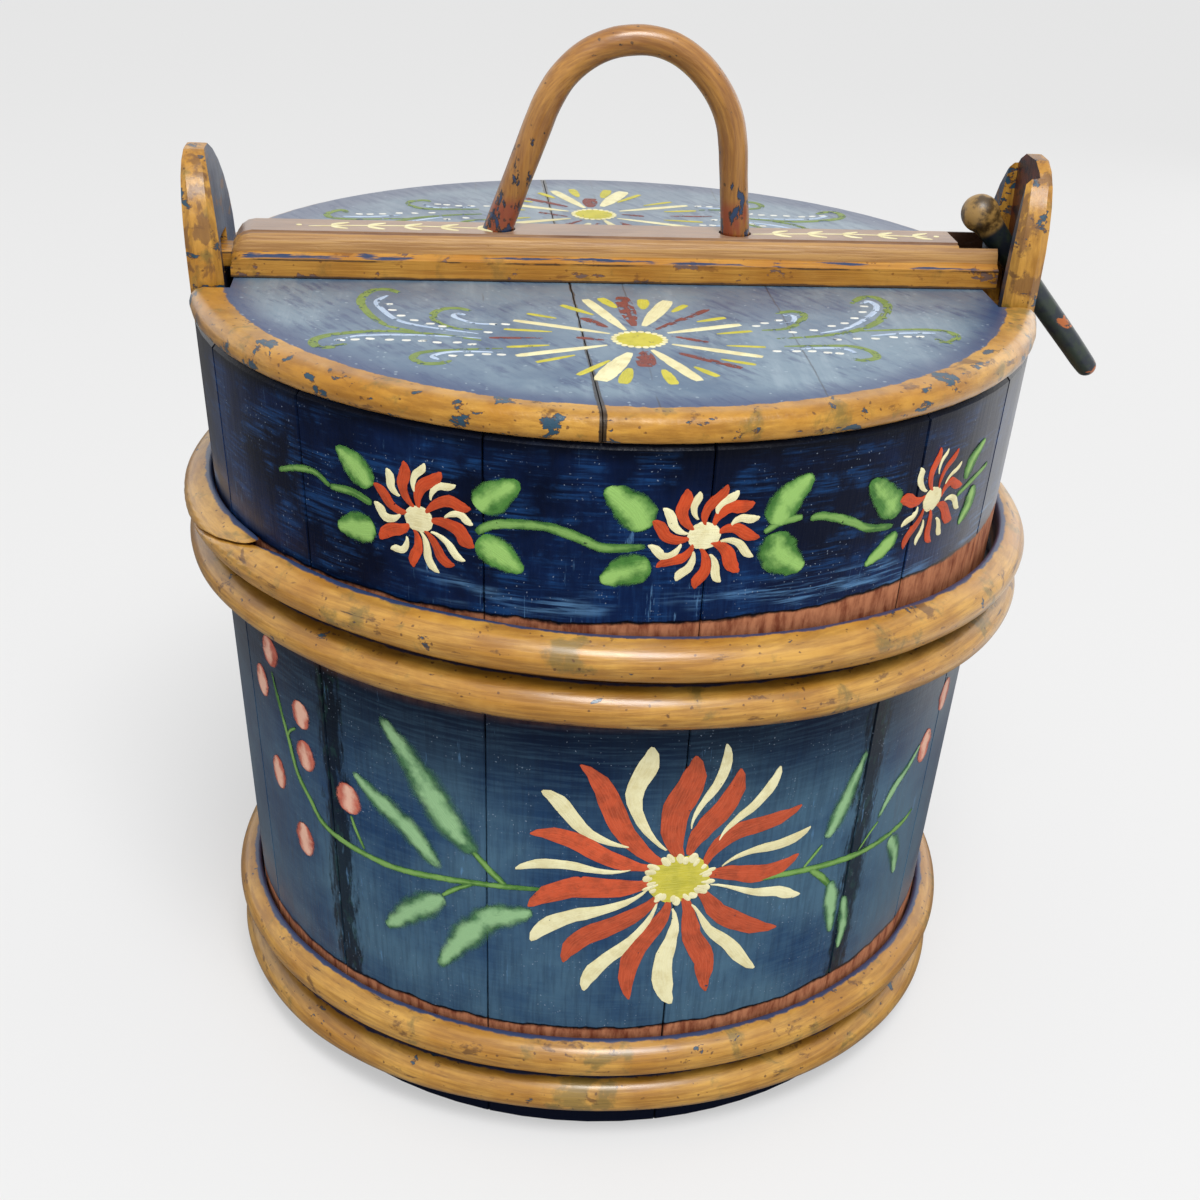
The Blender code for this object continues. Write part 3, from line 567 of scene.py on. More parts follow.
def makeHandlePaint():
    look = handleLook
    material, tree, shader, place = newMaterial("handle_paint")
    along = put(tree, "Attribute", attribute_name="along").outputs["Vector"]
    height = math2(tree, "MULTIPLY", put(tree, "SeparateXYZ", {0: place}).outputs["Z"], 1000)
    cloud = noiseOf(tree, scaled(tree, along, 30, 90, 90), 1, 5, 0.6)
    lines = useGroup(tree, streaks, Vector=scaled(tree, along, 70, 900, 900), Low=0.36, High=0.68)["Mask"]
    paint = layer(tree, rise(tree, cloud, 0.36, 0.64), look["ochre"], look["ochreLight"])
    paint = layer(tree, times(tree, lines, 0.55), paint, look["red"])
    low = rise(tree, height, 300, 262)
    chipsAt = scaled(tree, along, 130, 260, 260)
    lost = noiseOf(tree, chipsAt, 1, 7, 0.66)
    line = math2(tree, "SUBTRACT", 0.65, math2(tree, "MULTIPLY", low, 0.13))
    dark = rise(tree, math2(tree, "SUBTRACT", lost, line), 0.0, 0.012)
    blue = rise(tree, math2(tree, "SUBTRACT", lost, line), 0.035, 0.05)
    paint = layer(tree, times(tree, low, rise(tree, cloud, 0.46, 0.6), 0.55), paint, look["red"])
    paint = layer(tree, times(tree, rise(tree, height, 271, 266), rise(tree, cloud, 0.40, 0.50), 0.8), paint, look["bare"])
    paint = layer(tree, dark, paint, look["dark"])
    paint = layer(tree, times(tree, blue, 0.7), paint, look["blue"])
    pits = useGroup(tree, specks, Vector=place, Size=520, Amount=0.10)["Mask"]
    paint = layer(tree, times(tree, pits, 0.7), paint, look["dark"])
    rough = math2(tree, "ADD", look["roughness"] - 0.08, math2(tree, "MULTIPLY", cloud, 0.2))
    relief = math2(tree, "SUBTRACT", math2(tree, "MULTIPLY", lines, -0.5), math2(tree, "MULTIPLY", dark, 0.8))
    setShader(tree, shader, paint, rough, relief, 0.4, 0.0003, Coat_Weight=0.5, Coat_Roughness=0.2)
    return material


earLook = {
    "blue": colour(38, 46, 74),
    "blueLight": colour(84, 92, 108),
    "edgeBrown": colour(112, 76, 42),
    "line": colour(14, 16, 34),
    "recess": colour(58, 28, 22),
    "recessRed": colour(110, 52, 34),
    "roughness": 0.40,
}


def makeEarPaint():
    look = earLook
    material, tree, shader, place = newMaterial("ear_paint")
    at = useGroup(tree, tubPlace)
    cloud = noiseOf(tree, place, 60, 5, 0.62)
    grain = useGroup(tree, streaks, Vector=scaled(tree, place, 900, 900, 60), Low=0.38, High=0.66)["Mask"]
    face = layer(tree, rise(tree, cloud, 0.36, 0.66), look["blue"], look["blueLight"])
    face = layer(tree, times(tree, grain, 0.4), face, look["line"])
    edgePaint, rough, relief = ochreBase(tree, place, scaled(tree, place, 500, 500, 70), ochreLook, 0.36)
    edge = put(tree, "Attribute", attribute_name="edge").outputs["Fac"]   # 1 on the faces along the ear's outline
    brown = useGroup(tree, wornSpots, Vector=scaled(tree, place, 1, 1, 0.6), Size=120, Amount=0.50, Soft=0.06)["Mask"]
    edgePaint = layer(tree, times(tree, brown, 0.75), edgePaint, look["edgeBrown"])
    worn = useGroup(tree, wornSpots, Vector=place, Size=160, Amount=0.40, Soft=0.02)["Mask"]
    face = layer(tree, times(tree, worn, 0.8), face, look["edgeBrown"])
    paint = layer(tree, edge, face, edgePaint)
    recess = put(tree, "Attribute", attribute_name="recess").outputs["Fac"]
    red = layer(tree, rise(tree, cloud, 0.4, 0.65), look["recess"], look["recessRed"])
    red = layer(tree, times(tree, useGroup(tree, wornSpots, Vector=place, Size=200, Amount=0.5, Soft=0.02)["Mask"], 0.9), red, look["line"])
    paint = layer(tree, recess, paint, red)
    wall, wallRough, wallRelief, _ = wallCoat(tree, place)
    onWall = rise(tree, math2(tree, "ADD", at["Height"], math2(tree, "MULTIPLY", cloud, 24)), 250, 236)
    paint = layer(tree, onWall, paint, wall)
    setShader(tree, shader, paint, rough, relief, 0.4, 0.0003, Specular_IOR_Level=0.35, Coat_Weight=0.3, Coat_Roughness=0.25)
    return material


woodLook = {
    "light": colour(166, 128, 88),
    "dark": colour(112, 78, 50),
    "roughness": 0.62,
}


def makeBareWood():
    look = woodLook
    material, tree, shader, place = newMaterial("bare_wood")
    grain = useGroup(tree, streaks, Vector=scaled(tree, place, 600, 24, 500), Low=0.32, High=0.66)["Mask"]
    cloud = noiseOf(tree, place, 30, 4, 0.6)
    paint = layer(tree, times(tree, grain, 0.6), look["light"], look["dark"])
    paint = layer(tree, times(tree, rise(tree, cloud, 0.5, 0.7), 0.5), paint, look["dark"])
    rough = math2(tree, "ADD", look["roughness"], math2(tree, "MULTIPLY", grain, 0.1))
    setShader(tree, shader, paint, rough, grain, 0.3, 0.0003)
    return material


pegLook = {
    "shaft": colour(24, 34, 44),
    "shaftGreen": colour(40, 52, 42),
    "orange": colour(170, 92, 40),
    "knob": colour(156, 122, 66),
    "knobDark": colour(72, 54, 28),
    "roughness": 0.38,
}


def makePegPaint():
    look = pegLook
    material, tree, shader, place = newMaterial("peg_paint")
    along = put(tree, "Attribute", attribute_name="along").outputs["Fac"]   # mm down from the knob's middle
    mottle = noiseOf(tree, place, 170, 6, 0.66)
    shaft = layer(tree, rise(tree, mottle, 0.42, 0.58), look["shaft"], look["shaftGreen"])
    worn = useGroup(tree, wornSpots, Vector=place, Size=110, Amount=0.30, Soft=0.02)["Mask"]
    shaft = layer(tree, worn, shaft, look["orange"])
    knob = layer(tree, rise(tree, mottle, 0.44, 0.6), look["knob"], look["knobDark"])
    paint = layer(tree, rise(tree, along, 5.0, 7.0), knob, shaft)
    rough = math2(tree, "ADD", look["roughness"] - 0.08, math2(tree, "MULTIPLY", mottle, 0.2))
    setShader(tree, shader, paint, rough, mottle, 0.35, 0.0004, Coat_Weight=0.2, Coat_Roughness=0.3)
    return material


def makeStrokePaint(name, body, dark, light, wear, soft=False, edgeFrom=0.72):  # one colour of brush-stroke paint
    material, tree, shader, place = newMaterial(name)
    uv = put(tree, "UVMap", uv_map="stroke").outputs[0]
    tint = put(tree, "Attribute", attribute_name="tint").outputs["Fac"]
    rim = put(tree, "Attribute", attribute_name="rim").outputs["Fac"]
    lines = useGroup(tree, streaks, Vector=scaled(tree, uv, 0.22, 2.4, 1), Low=0.36, High=0.68)["Mask"]
    cloud = noiseOf(tree, place, 210, 4, 0.6)
    paint = layer(tree, times(tree, rise(tree, cloud, 0.42, 0.66), 0.6), body, dark)
    paint = layer(tree, times(tree, tint, 0.5), paint, dark)
    if soft:
        blot = math2(tree, "MULTIPLY", math2(tree, "SUBTRACT", noiseOf(tree, place, 110, 5, 0.62), 0.5), 2.2)
        heart = rise(tree, math2(tree, "ADD", rim, blot), 0.80, 0.10)
        paint = layer(tree, times(tree, heart, 0.9), paint, light)
    else:
        paint = layer(tree, times(tree, lines, 0.35), paint, light)
    worn = useGroup(tree, wornSpots, Vector=place, Size=330, Amount=wear, Soft=0.02)["Mask"]
    solid = math2(tree, "SUBTRACT", 1.0, times(tree, worn, rise(tree, rim, 0.0, 0.5)))
    if soft:
        edge = math2(tree, "ADD", rim, math2(tree, "MULTIPLY", math2(tree, "SUBTRACT", cloud, 0.5), 0.6))
        solid = times(tree, solid, rise(tree, edge, 1.06, edgeFrom))
    rough = math2(tree, "ADD", 0.36, math2(tree, "MULTIPLY", lines, 0.12))
    setShader(tree, shader, paint, rough, lines, 0.3, 0.0002, alpha=solid, Specular_IOR_Level=0.2)
    return material


wallPaint = makeWallPaint()
hoopPaint = makeHoopPaint()
lidPaint = makeLidPaint()
barPaint = makeBarPaint()
handlePaint = makeHandlePaint()
earPaint = makeEarPaint()
bareWood = makeBareWood()
pegPaint = makePegPaint()
strokePaints = {
    "red": makeStrokePaint("stroke_red", colour(206, 74, 34), colour(138, 48, 24), colour(222, 100, 52), 0.20),
    "bigRed": makeStrokePaint("stroke_big_red", colour(208, 86, 50), colour(136, 58, 36), colour(224, 108, 70), 0.22),
    "cream": makeStrokePaint("stroke_cream", colour(238, 232, 186), colour(206, 192, 136), colour(246, 242, 206), 0.20),
    "yellow": makeStrokePaint("stroke_yellow", colour(208, 196, 66), colour(166, 162, 48), colour(228, 220, 120), 0.24),
    "leaf": makeStrokePaint("stroke_leaf", colour(84, 138, 62), colour(40, 90, 34), colour(154, 198, 108), 0.16, True),
    "lowLeaf": makeStrokePaint("stroke_low_leaf", colour(84, 132, 88), colour(46, 92, 60), colour(152, 194, 142), 0.18, True, 0.30),
    "stem": makeStrokePaint("stroke_stem", colour(84, 132, 58), colour(44, 88, 40), colour(128, 170, 90), 0.26, True),
    "berry": makeStrokePaint("stroke_berry", colour(204, 112, 92), colour(166, 72, 52), colour(238, 190, 166), 0.20, True),
    "scroll": makeStrokePaint("stroke_scroll", colour(126, 146, 78), colour(92, 116, 62), colour(160, 176, 112), 0.46),
    "white": makeStrokePaint("stroke_white", colour(186, 204, 226), colour(150, 172, 200), colour(226, 234, 240), 0.44),
    "dab": makeStrokePaint("stroke_dab", colour(232, 232, 222), colour(200, 200, 190), colour(250, 250, 244), 0.34),
    "fadedRed": makeStrokePaint("stroke_faded_red", colour(128, 66, 58), colour(104, 60, 60), colour(166, 84, 62), 0.50),
}
print("materials made:", len(bpy.data.materials))


# ---------- tub ----------

def seamAngles(node):  # the two side edges of a stave, in degrees round the tub
    angles = []
    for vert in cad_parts[node].data.vertices:
        turn = math.degrees(math.atan2(vert.co.y / (1 - tub["oval"] / 0.12), (vert.co.x - tub["axisX"]) / (1 + tub["oval"] / 0.12)))
        angles.append(turn)
    if max(angles) - min(angles) > 300:
        angles = [turn % 360 for turn in angles]
    return min(angles), max(angles)


def fromSeam(point, low, high):  # mm along the wall to the nearer side edge
    turn = math.degrees(math.atan2(point.y / (1 - tub["oval"] / 0.12), (point.x - tub["axisX"]) / (1 + tub["oval"] / 0.12)))
    if high > 180 and turn < 0:
        turn += 360
    return math.radians(min(turn - low, high - turn)) * tub["unrollRadius"] * 1000


def makeStaves():
    for name in sorted(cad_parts):
        if not name.startswith("stave_"):
            continue
        piece = copyOfNode(name, name + "_painted", 30)
        low, high = seamAngles(name)
        storeValues(piece.data, "fromEdge", [fromSeam(vert.co, low, high) for vert in piece.data.vertices])
        finishPiece(piece, "tub", "navy_painted_wood", wallPaint, name)


hoop = {
    "wave": 0.00035,
    "waveScale": 28.0,
    "loose": 0.0020,
}


def makeHoops():
    for name in ("lower_hoop_top", "lower_hoop_bottom", "upper_hoop_top", "upper_hoop_bottom"):
        piece = copyOfNode(name, name + "_painted", 60)
        smooth = piece.modifiers.new("round", "SUBSURF")
        smooth.levels = smooth.render_levels = 2
        applyAll(piece)
        verts = piece.data.vertices
        loose = hoop["loose"] if name.startswith("upper") else 0.0
        low = min(vert.co.z for vert in verts)
        for vert in verts:
            push = noise.noise(vert.co * hoop["waveScale"] + Vector((0, 0, low * 90)))
            vert.co += vert.normal * push * hoop["wave"]
        # where each point lies in the hoop's own section
        sectors = {}
        places = []
        for vert in verts:
            turn = math.atan2(vert.co.y, vert.co.x - tub["axisX"])
            places.append((turn, math.hypot(vert.co.x - tub["axisX"], vert.co.y), vert.co.z))
            key = int((turn + math.pi) / math.radians(2))
            span = sectors.setdefault(key, [9, -9, 9])
            span[0] = min(span[0], vert.co.z)
            span[1] = max(span[1], vert.co.z)
            span[2] = min(span[2], places[-1][1])
        outward, above = [], []
        for turn, radius, z in places:
            span = sectors[int((turn + math.pi) / math.radians(2))]
            outward.append((radius - span[2]) * 1000)
            above.append((z - (span[0] + span[1]) / 2) * 1000)
        storeValues(piece.data, "outward", outward)
        storeValues(piece.data, "above", above)
        smoothBy(piece, 60)
        finishPiece(piece, "tub", "ochre_hoop_wood", hoopPaint, name)


def makeEars():
    for name, housingLow, housingHigh in (("ear_stave_left", 0, 0), ("ear_stave_right", -0.0185, 0.0035)):
        piece = copyOfNode(name, name + "_painted", 30)
        onlyActive(piece)
        bpy.ops.object.mode_set(mode="EDIT")
        bpy.ops.mesh.select_all(action="SELECT")
        bpy.ops.mesh.quads_convert_to_tris()
        bpy.ops.mesh.subdivide(number_cuts=2)
        bpy.ops.object.mode_set(mode="OBJECT")
        low, high = seamAngles(name)
        storeValues(piece.data, "fromEdge", [fromSeam(vert.co, low, high) for vert in piece.data.vertices])
        edges, recess = [], []
        for face in piece.data.polygons:
            out = Vector((face.center.x - tub["axisX"], face.center.y, 0)).normalized()
            turned = abs(face.normal.dot(out))
            edges.append(1.0 if turned < 0.80 and face.center.z > 0.2365 else 0.0)
            inHousing = housingLow < face.center.y < housingHigh and face.center.z > 0.239
            reach = math.hypot(face.center.x - tub["axisX"], face.center.y)
            inner = wallRadius(min(face.center.z, tub["height"])) - 0.0085
            recess.append(1.0 if inHousing and reach > inner and turned > 0.62 and face.normal.dot(out) < 0 else 0.0)
        for label, values in (("edge", edges), ("recess", recess)):
            piece.data.attributes.new(label, "FLOAT", "FACE").data.foreach_set("value", values)
        smoothBy(piece, 30)
        finishPiece(piece, "tub", "ear_painted_wood", earPaint, name)


def makeBottom():
    for name in ("bottom_board_left", "bottom_board_middle", "bottom_board_right"):
        piece = copyOfNode(name, name + "_wood", 30)
        finishPiece(piece, "tub", "bare_wood", bareWood, name)


makeStaves()
makeHoops()
makeEars()
makeBottom()
print("tub made")


# ---------- lid, bar, handle and peg ----------

def makeLid():
    for name in ("lid_board_left", "lid_board_right"):
        piece = copyOfNode(name, name + "_painted", 35)
        finishPiece(piece, "lid", "lid_painted_wood", lidPaint, name)
    piece = copyOfNode("lid_bar", "lid_bar_painted", 25)
    finishPiece(piece, "lid", "bar_painted_wood", barPaint, "lid_bar")
    for number in (1, 2, 3, 4):
        name = f"bar_trenail_{number}"
        piece = copyOfNode(name, name + "_wood", 30)
        finishPiece(piece, "lid", "bare_wood", bareWood, name)


handle = {
    "middle": (-0.0115, 0.282),
    "wave": 0.00030,
}


def makeHandle():
    piece = copyOfNode("handle", "handle_painted", 60)
    smooth = piece.modifiers.new("round", "SUBSURF")
    smooth.levels = smooth.render_levels = 2
    applyAll(piece)
    layerAlong = piece.data.attributes.new("along", "FLOAT_VECTOR", "POINT")
    values = []
    for vert in piece.data.vertices:
        push = noise.noise(vert.co * 60) + 0.5 * noise.noise(vert.co * 170)
        vert.co += vert.normal * push * handle["wave"]
        across, up = vert.co.x - handle["middle"][0], vert.co.z - handle["middle"][1]
        turn = math.atan2(up, across) if up > 0 else (0 if across > 0 else math.pi)
        length = turn * 0.036 + (up if across < 0 else -up) * (up < 0)
        values.extend((length, vert.co.y, math.hypot(across, max(up, 0))))
    layerAlong.data.foreach_set("vector", values)
    smoothBy(piece, 60)
    finishPiece(piece, "lid", "handle_wood", handlePaint, "handle")


peg = {
    "knob": Vector((0.10244, -0.0015, 0.267)),
    "way": Vector((-0.6521, 0, 0.7581)),
    "wave": 0.00025,
}


def makePeg():
    piece = copyOfNode("locking_peg", "locking_peg_painted", 60)
    smooth = piece.modifiers.new("round", "SUBSURF")
    smooth.levels = smooth.render_levels = 2
    applyAll(piece)
    values = []
    for vert in piece.data.vertices:
        vert.co += vert.normal * noise.noise(vert.co * 150) * peg["wave"]
        values.append((peg["knob"] - vert.co).dot(peg["way"]) * 1000)
    storeValues(piece.data, "along", values)
    smoothBy(piece, 60)
    finishPiece(piece, "peg", "peg_wood", pegPaint, "locking_peg")


makeLid()
makeHandle()
makePeg()
print("lid and peg made")


# ---------- painted decoration: each brush stroke is a thin skin of paint ----------

stroke = {
    "rowsShort": 14,
    "rowsLong": 40,
    "lift": 0.00016,
    "sunk": 0.00030,
    "wobble": 0.10,
}
widthShares = {   # a stroke's width along its length, from its base to its tip
    "redPetal": (0.26, 0.48, 0.84, 1.06, 0.86, 0.46, 0.08),
    "creamPetal": (0.10, 0.24, 0.52, 0.90, 1.0, 0.66, 0.16),
    "smallPetal": (0.22, 0.40, 0.70, 1.0, 0.90, 0.54, 0.08),
    "leaf": (0.22, 0.74, 1.10, 1.10, 0.80, 0.46, 0.10),
    "stem": (0.55, 0.85, 1.0, 1.0, 0.95, 0.85, 0.50),
    "ray": (0.30, 0.60, 0.85, 1.0, 1.0, 0.92, 0.60),
    "scroll": (0.30, 0.60, 0.85, 1.0, 1.0, 0.90, 0.45),
    "round": (0.05, 0.62, 0.90, 1.0, 0.90, 0.62, 0.05),
}
widthStops = (0.0, 0.12, 0.3, 0.52, 0.75, 0.9, 1.0)
draws = random.Random(11)


def widthAt(shape, t):
    if shape == "round":
        return math.sqrt(max(0.0, 1 - (2 * t - 1) ** 2))
    shares = widthShares[shape]
    for index in range(len(widthStops) - 1):
        if t <= widthStops[index + 1]:
            part = (t - widthStops[index]) / (widthStops[index + 1] - widthStops[index])
            part = part * part * (3 - 2 * part)
            return shares[index] + (shares[index + 1] - shares[index]) * part
    return shares[-1]


def lineAt(points, t):  # a smooth line through the points
    count = len(points) - 1
    if count == 1:
        return points[0].lerp(points[1], t)
    place = min(t * count, count - 1e-6)
    index = int(place)
    part = place - index
    a = points[max(index - 1, 0)]
    b, c = points[index], points[index + 1]
    d = points[min(index + 2, count)]
    return 0.5 * (2 * b + (c - a) * part + (2 * a - 5 * b + 4 * c - d) * part**2 + (3 * b - a - 3 * c + d) * part**3)


def makeBlank(name, rows):  # a flat brush stroke one unit long and one wide, closed underneath
    bpy.ops.object.select_all(action="DESELECT")
    bpy.ops.mesh.primitive_grid_add(x_subdivisions=rows, y_subdivisions=4, size=1)
    blank = bpy.context.active_object
    blank.name = name
    bpy.ops.object.mode_set(mode="EDIT")
    bpy.ops.mesh.select_all(action="SELECT")
    bpy.ops.mesh.extrude_region_move(TRANSFORM_OT_translate={"value": (0, 0, -1)})
    bpy.ops.mesh.select_all(action="SELECT")
    bpy.ops.mesh.normals_make_consistent(inside=False)
    bpy.ops.object.mode_set(mode="OBJECT")
    return blank


blanks = {"short": makeBlank("strokeShort", stroke["rowsShort"]), "long": makeBlank("strokeLong", stroke["rowsLong"])}
painted = {}


def paintStroke(group, place, points, width, shape, lift=1.0, curl=0.0):
    line = [Vector(point) * mm for point in points]
    length = sum((b - a).length for a, b in zip(line, line[1:]))
    blank = blanks["long" if len(points) > 4 else "short"]
    mesh = blank.data.copy()
    seed = draws.random() * 50
    shade = draws.random()
    rims = []
    coords = []
    for vert in mesh.vertices:
        t, v, under = vert.co.x + 0.5, vert.co.y * 2, vert.co.z < -0.5
        middle = lineAt(line, t)
        ahead = lineAt(line, min(t + 0.02, 1)) - lineAt(line, max(t - 0.02, 0))
        side = Vector((-ahead.y, ahead.x)).normalized()
        ragged = 1 + stroke["wobble"] * noise.noise(Vector((t * length * 420, seed, v > 0)))
        ragged += 0.6 * stroke["wobble"] * noise.noise(Vector((t * length * 1400, seed, 7 + (v > 0))))
        half = width * mm / 2 * widthAt(shape, t) * ragged
        at = middle + side * (half * v + curl * length * math.sin(2 * math.pi * t))
        rim = max(abs(v), abs(2 * t - 1) ** 6)
        height = -stroke["sunk"] if under else stroke["lift"] * lift * (1 - 0.7 * rim * rim)
        rims.append(rim)
        coords.append((t * length * 1000 + seed, v * half * 1000))
        vert.co = place(at.x, at.y, height)
    storeValues(mesh, "rim", rims)
    storeValues(mesh, "tint", [shade] * len(rims))
    uv = mesh.uv_layers.get("stroke") or mesh.uv_layers.new(name="stroke")
    for loop in mesh.loops:
        uv.data[loop.index].uv = coords[loop.vertex_index]
    piece = bpy.data.objects.new(group, mesh)
    bpy.context.scene.collection.objects.link(piece)
    painted.setdefault(group, []).append(piece)


def onWall(around, z, lift):
    return wallPoint(around, z, lift)


def wallFrom(angle, z, spread=1.0, mirrored=False):  # a place map centred on one point of the wall
    start = math.radians(angle + 90) * tub["unrollRadius"]
    way = -1 if mirrored else 1
    return lambda across, up, lift: wallPoint(start + across * spread * way, z * mm + up, lift)


flowerOne = [
    ("red", 4.4, [(-1.8, 4.4), (-4.4, 9.8), (-3.8, 16.0)]), ("cream", 2.9, [(-1.1, 8.5), (-0.2, 13.1), (2.2, 16.5)]),
    ("red", 4.9, [(0.2, 4.5), (2.0, 10.4), (6.9, 14.8)]), ("cream", 2.9, [(4.0, 7.0), (6.4, 10.8), (10.8, 11.8)]),
    ("red", 4.7, [(2.7, 2.5), (9.3, 6.9), (14.8, 5.6)]), ("cream", 3.0, [(8.2, 2.1), (12.2, 3.4), (15.3, 1.1)]),
    ("red", 5.6, [(3.8, 0.0), (11.5, -1.4), (15.5, -5.5)]), ("cream", 3.0, [(4.0, -3.6), (9.1, -6.7), (13.0, -9.9)]),
    ("red", 3.9, [(2.0, -4.2), (5.7, -9.0), (10.0, -11.8)]), ("cream", 3.2, [(0.4, -4.4), (2.2, -9.7), (5.5, -14.9)]),
    ("red", 4.0, [(-2.2, -4.8), (-0.9, -9.6), (-2.2, -14.8)]), ("cream", 3.0, [(-4.2, -6.7), (-5.5, -10.3), (-9.1, -10.9)]),
    ("red", 5.0, [(-4.0, -2.5), (-7.1, -4.5), (-12.4, -8.7)]), ("cream", 3.7, [(-6.2, 0.2), (-10.4, -1.4), (-13.5, 2.1)]),
    ("red", 4.0, [(-3.5, 2.0), (-8.8, 3.0), (-13.5, 7.5)]), ("cream", 3.5, [(-6.0, 6.1), (-8.0, 8.6), (-9.1, 12.8)]),
]
flowerTwo = [
    ("red", 4.7, [(-3.3, 2.2), (-6.2, 7.8), (-5.3, 13.6)]), ("cream", 2.9, [(-2.2, 5.5), (-3.1, 9.3), (-2.0, 12.8)]),
    ("red", 4.0, [(0.2, 4.0), (1.3, 9.1), (5.1, 14.4)]), ("cream", 3.5, [(3.5, 6.6), (4.6, 9.6), (8.2, 12.5)]),
    ("red", 4.9, [(3.3, 3.9), (6.6, 8.0), (12.8, 8.7)]), ("cream", 3.2, [(7.7, 2.8), (10.2, 4.4), (14.6, 4.4)]),
    ("red", 4.4, [(4.6, 0.2), (9.1, 1.3), (15.1, -1.6)]), ("cream", 3.2, [(5.1, -2.2), (10.2, -3.5), (13.9, -7.2)]),
    ("red", 5.2, [(2.0, -2.9), (6.9, -6.0), (10.2, -11.5)]), ("cream", 3.2, [(2.2, -6.3), (3.8, -10.3), (5.5, -14.1)]),
    ("red", 4.4, [(-0.9, -5.1), (0.7, -10.9), (-1.5, -15.6)]), ("cream", 3.4, [(-2.9, -5.2), (-4.0, -9.9), (-6.6, -13.1)]),
    ("red", 3.9, [(-4.0, -3.0), (-6.2, -6.6), (-12.0, -8.9)]), ("cream", 3.4, [(-6.6, -2.5), (-10.2, -5.8), (-14.4, -2.5)]),
    ("red", 4.4, [(-4.6, -0.6), (-10.0, 0.3), (-13.7, 4.7)]), ("cream", 3.5, [(-5.1, 0.8), (-8.4, 3.9), (-11.1, 8.3)]),
]
flowerThree = [
    ("red", 3.4, [(-0.6, 3.8), (-2.1, 9.6), (-0.2, 15.7)]), ("cream", 1.8, [(1.1, 8.2), (1.7, 11.9), (3.4, 14.5)]),
    ("red", 2.8, [(3.2, 3.6), (4.9, 9.3), (8.7, 13.0)]), ("cream", 1.8, [(5.7, 3.7), (8.7, 6.0), (11.7, 8.2)]),
    ("red", 3.8, [(5.7, -0.5), (8.3, 3.0), (14.5, 0.2)]), ("cream", 3.0, [(7.2, -2.4), (11.7, -3.6), (15.1, -7.3)]),
    ("red", 4.6, [(3.4, -3.3), (7.5, -5.9), (12.1, -10.1)]), ("cream", 2.8, [(3.8, -7.5), (5.7, -10.4), (7.5, -13.2)]),
    ("red", 3.2, [(-0.4, -4.2), (0.6, -9.4), (3.2, -14.3)]), ("cream", 2.2, [(-2.8, -6.4), (-3.0, -10.1), (-4.0, -13.2)]),
    ("red", 3.4, [(-4.5, -2.8), (-6.4, -7.4), (-9.2, -12.9)]), ("cream", 2.6, [(-6.8, -0.7), (-7.7, -3.6), (-11.5, -5.4)]),
    ("red", 4.8, [(-4.9, 2.5), (-8.9, 1.8), (-13.8, 3.1)]), ("cream", 3.2, [(-3.8, 3.9), (-7.0, 8.1), (-7.2, 11.4)]),
]
bigFlower = [
    ("cream", 5.2, [(-14.7, 13.0), (-30.1, 20.7), (-40.0, 31.1)]), ("red", 7.0, [(-4.6, 6.7), (-19.4, 23.4), (-29.7, 41.0)]),
    ("cream", 6.5, [(-4.6, 11.6), (-14.5, 31.8), (-10.5, 47.3)]), ("red", 9.3, [(0.0, 9.0), (-1.7, 26.9), (1.9, 43.5)]),
    ("cream", 3.6, [(2.5, 18.8), (7.8, 31.0), (10.3, 46.6)]), ("red", 7.4, [(2.9, 10.0), (9.5, 21.3), (15.4, 37.3)]),
    ("cream", 3.9, [(11.4, 12.2), (19.4, 22.1), (27.8, 35.6)]), ("red", 6.3, [(8.8, 4.7), (18.5, 15.3), (37.1, 19.3)]),
    ("cream", 3.9, [(13.7, 2.9), (26.5, 6.7), (41.7, 9.9)]), ("red", 6.7, [(8.4, 0.2), (22.9, -2.3), (38.7, 0.7)]),
    ("cream", 4.2, [(10.7, -3.8), (22.9, -10.3), (33.9, -10.6), (41.5, -15.6)]),
    ("red", 7.0, [(6.3, -4.4), (11.8, -15.0), (22.3, -19.3), (34.3, -25.9)]),
    ("cream", 5.0, [(4.6, -10.6), (9.3, -21.1), (20.2, -28.2), (28.2, -40.4)]),
    ("red", 7.4, [(2.3, -8.0), (4.0, -22.1), (12.2, -32.6), (12.2, -45.6)]),
    ("cream", 6.8, [(-1.1, -12.0), (-1.9, -28.0), (1.1, -48.8)]), ("red", 6.8, [(-2.9, -9.7), (-9.9, -23.6), (-12.2, -45.8)]),
    ("cream", 5.3, [(-6.3, -8.6), (-17.1, -27.1), (-26.3, -42.2)]), ("red", 7.0, [(-5.9, -6.4), (-22.5, -18.7), (-32.8, -31.4)]),
    ("cream", 5.8, [(-9.7, -3.5), (-27.6, -12.5), (-42.7, -24.2)]), ("red", 8.2, [(-9.1, -0.4), (-25.9, -2.3), (-43.6, -11.3)]),
    ("cream", 3.6, [(-14.3, 4.8), (-29.7, 5.0), (-47.4, 2.1)]), ("red", 6.5, [(-8.6, 5.5), (-26.3, 11.9), (-43.2, 15.6)]),
]
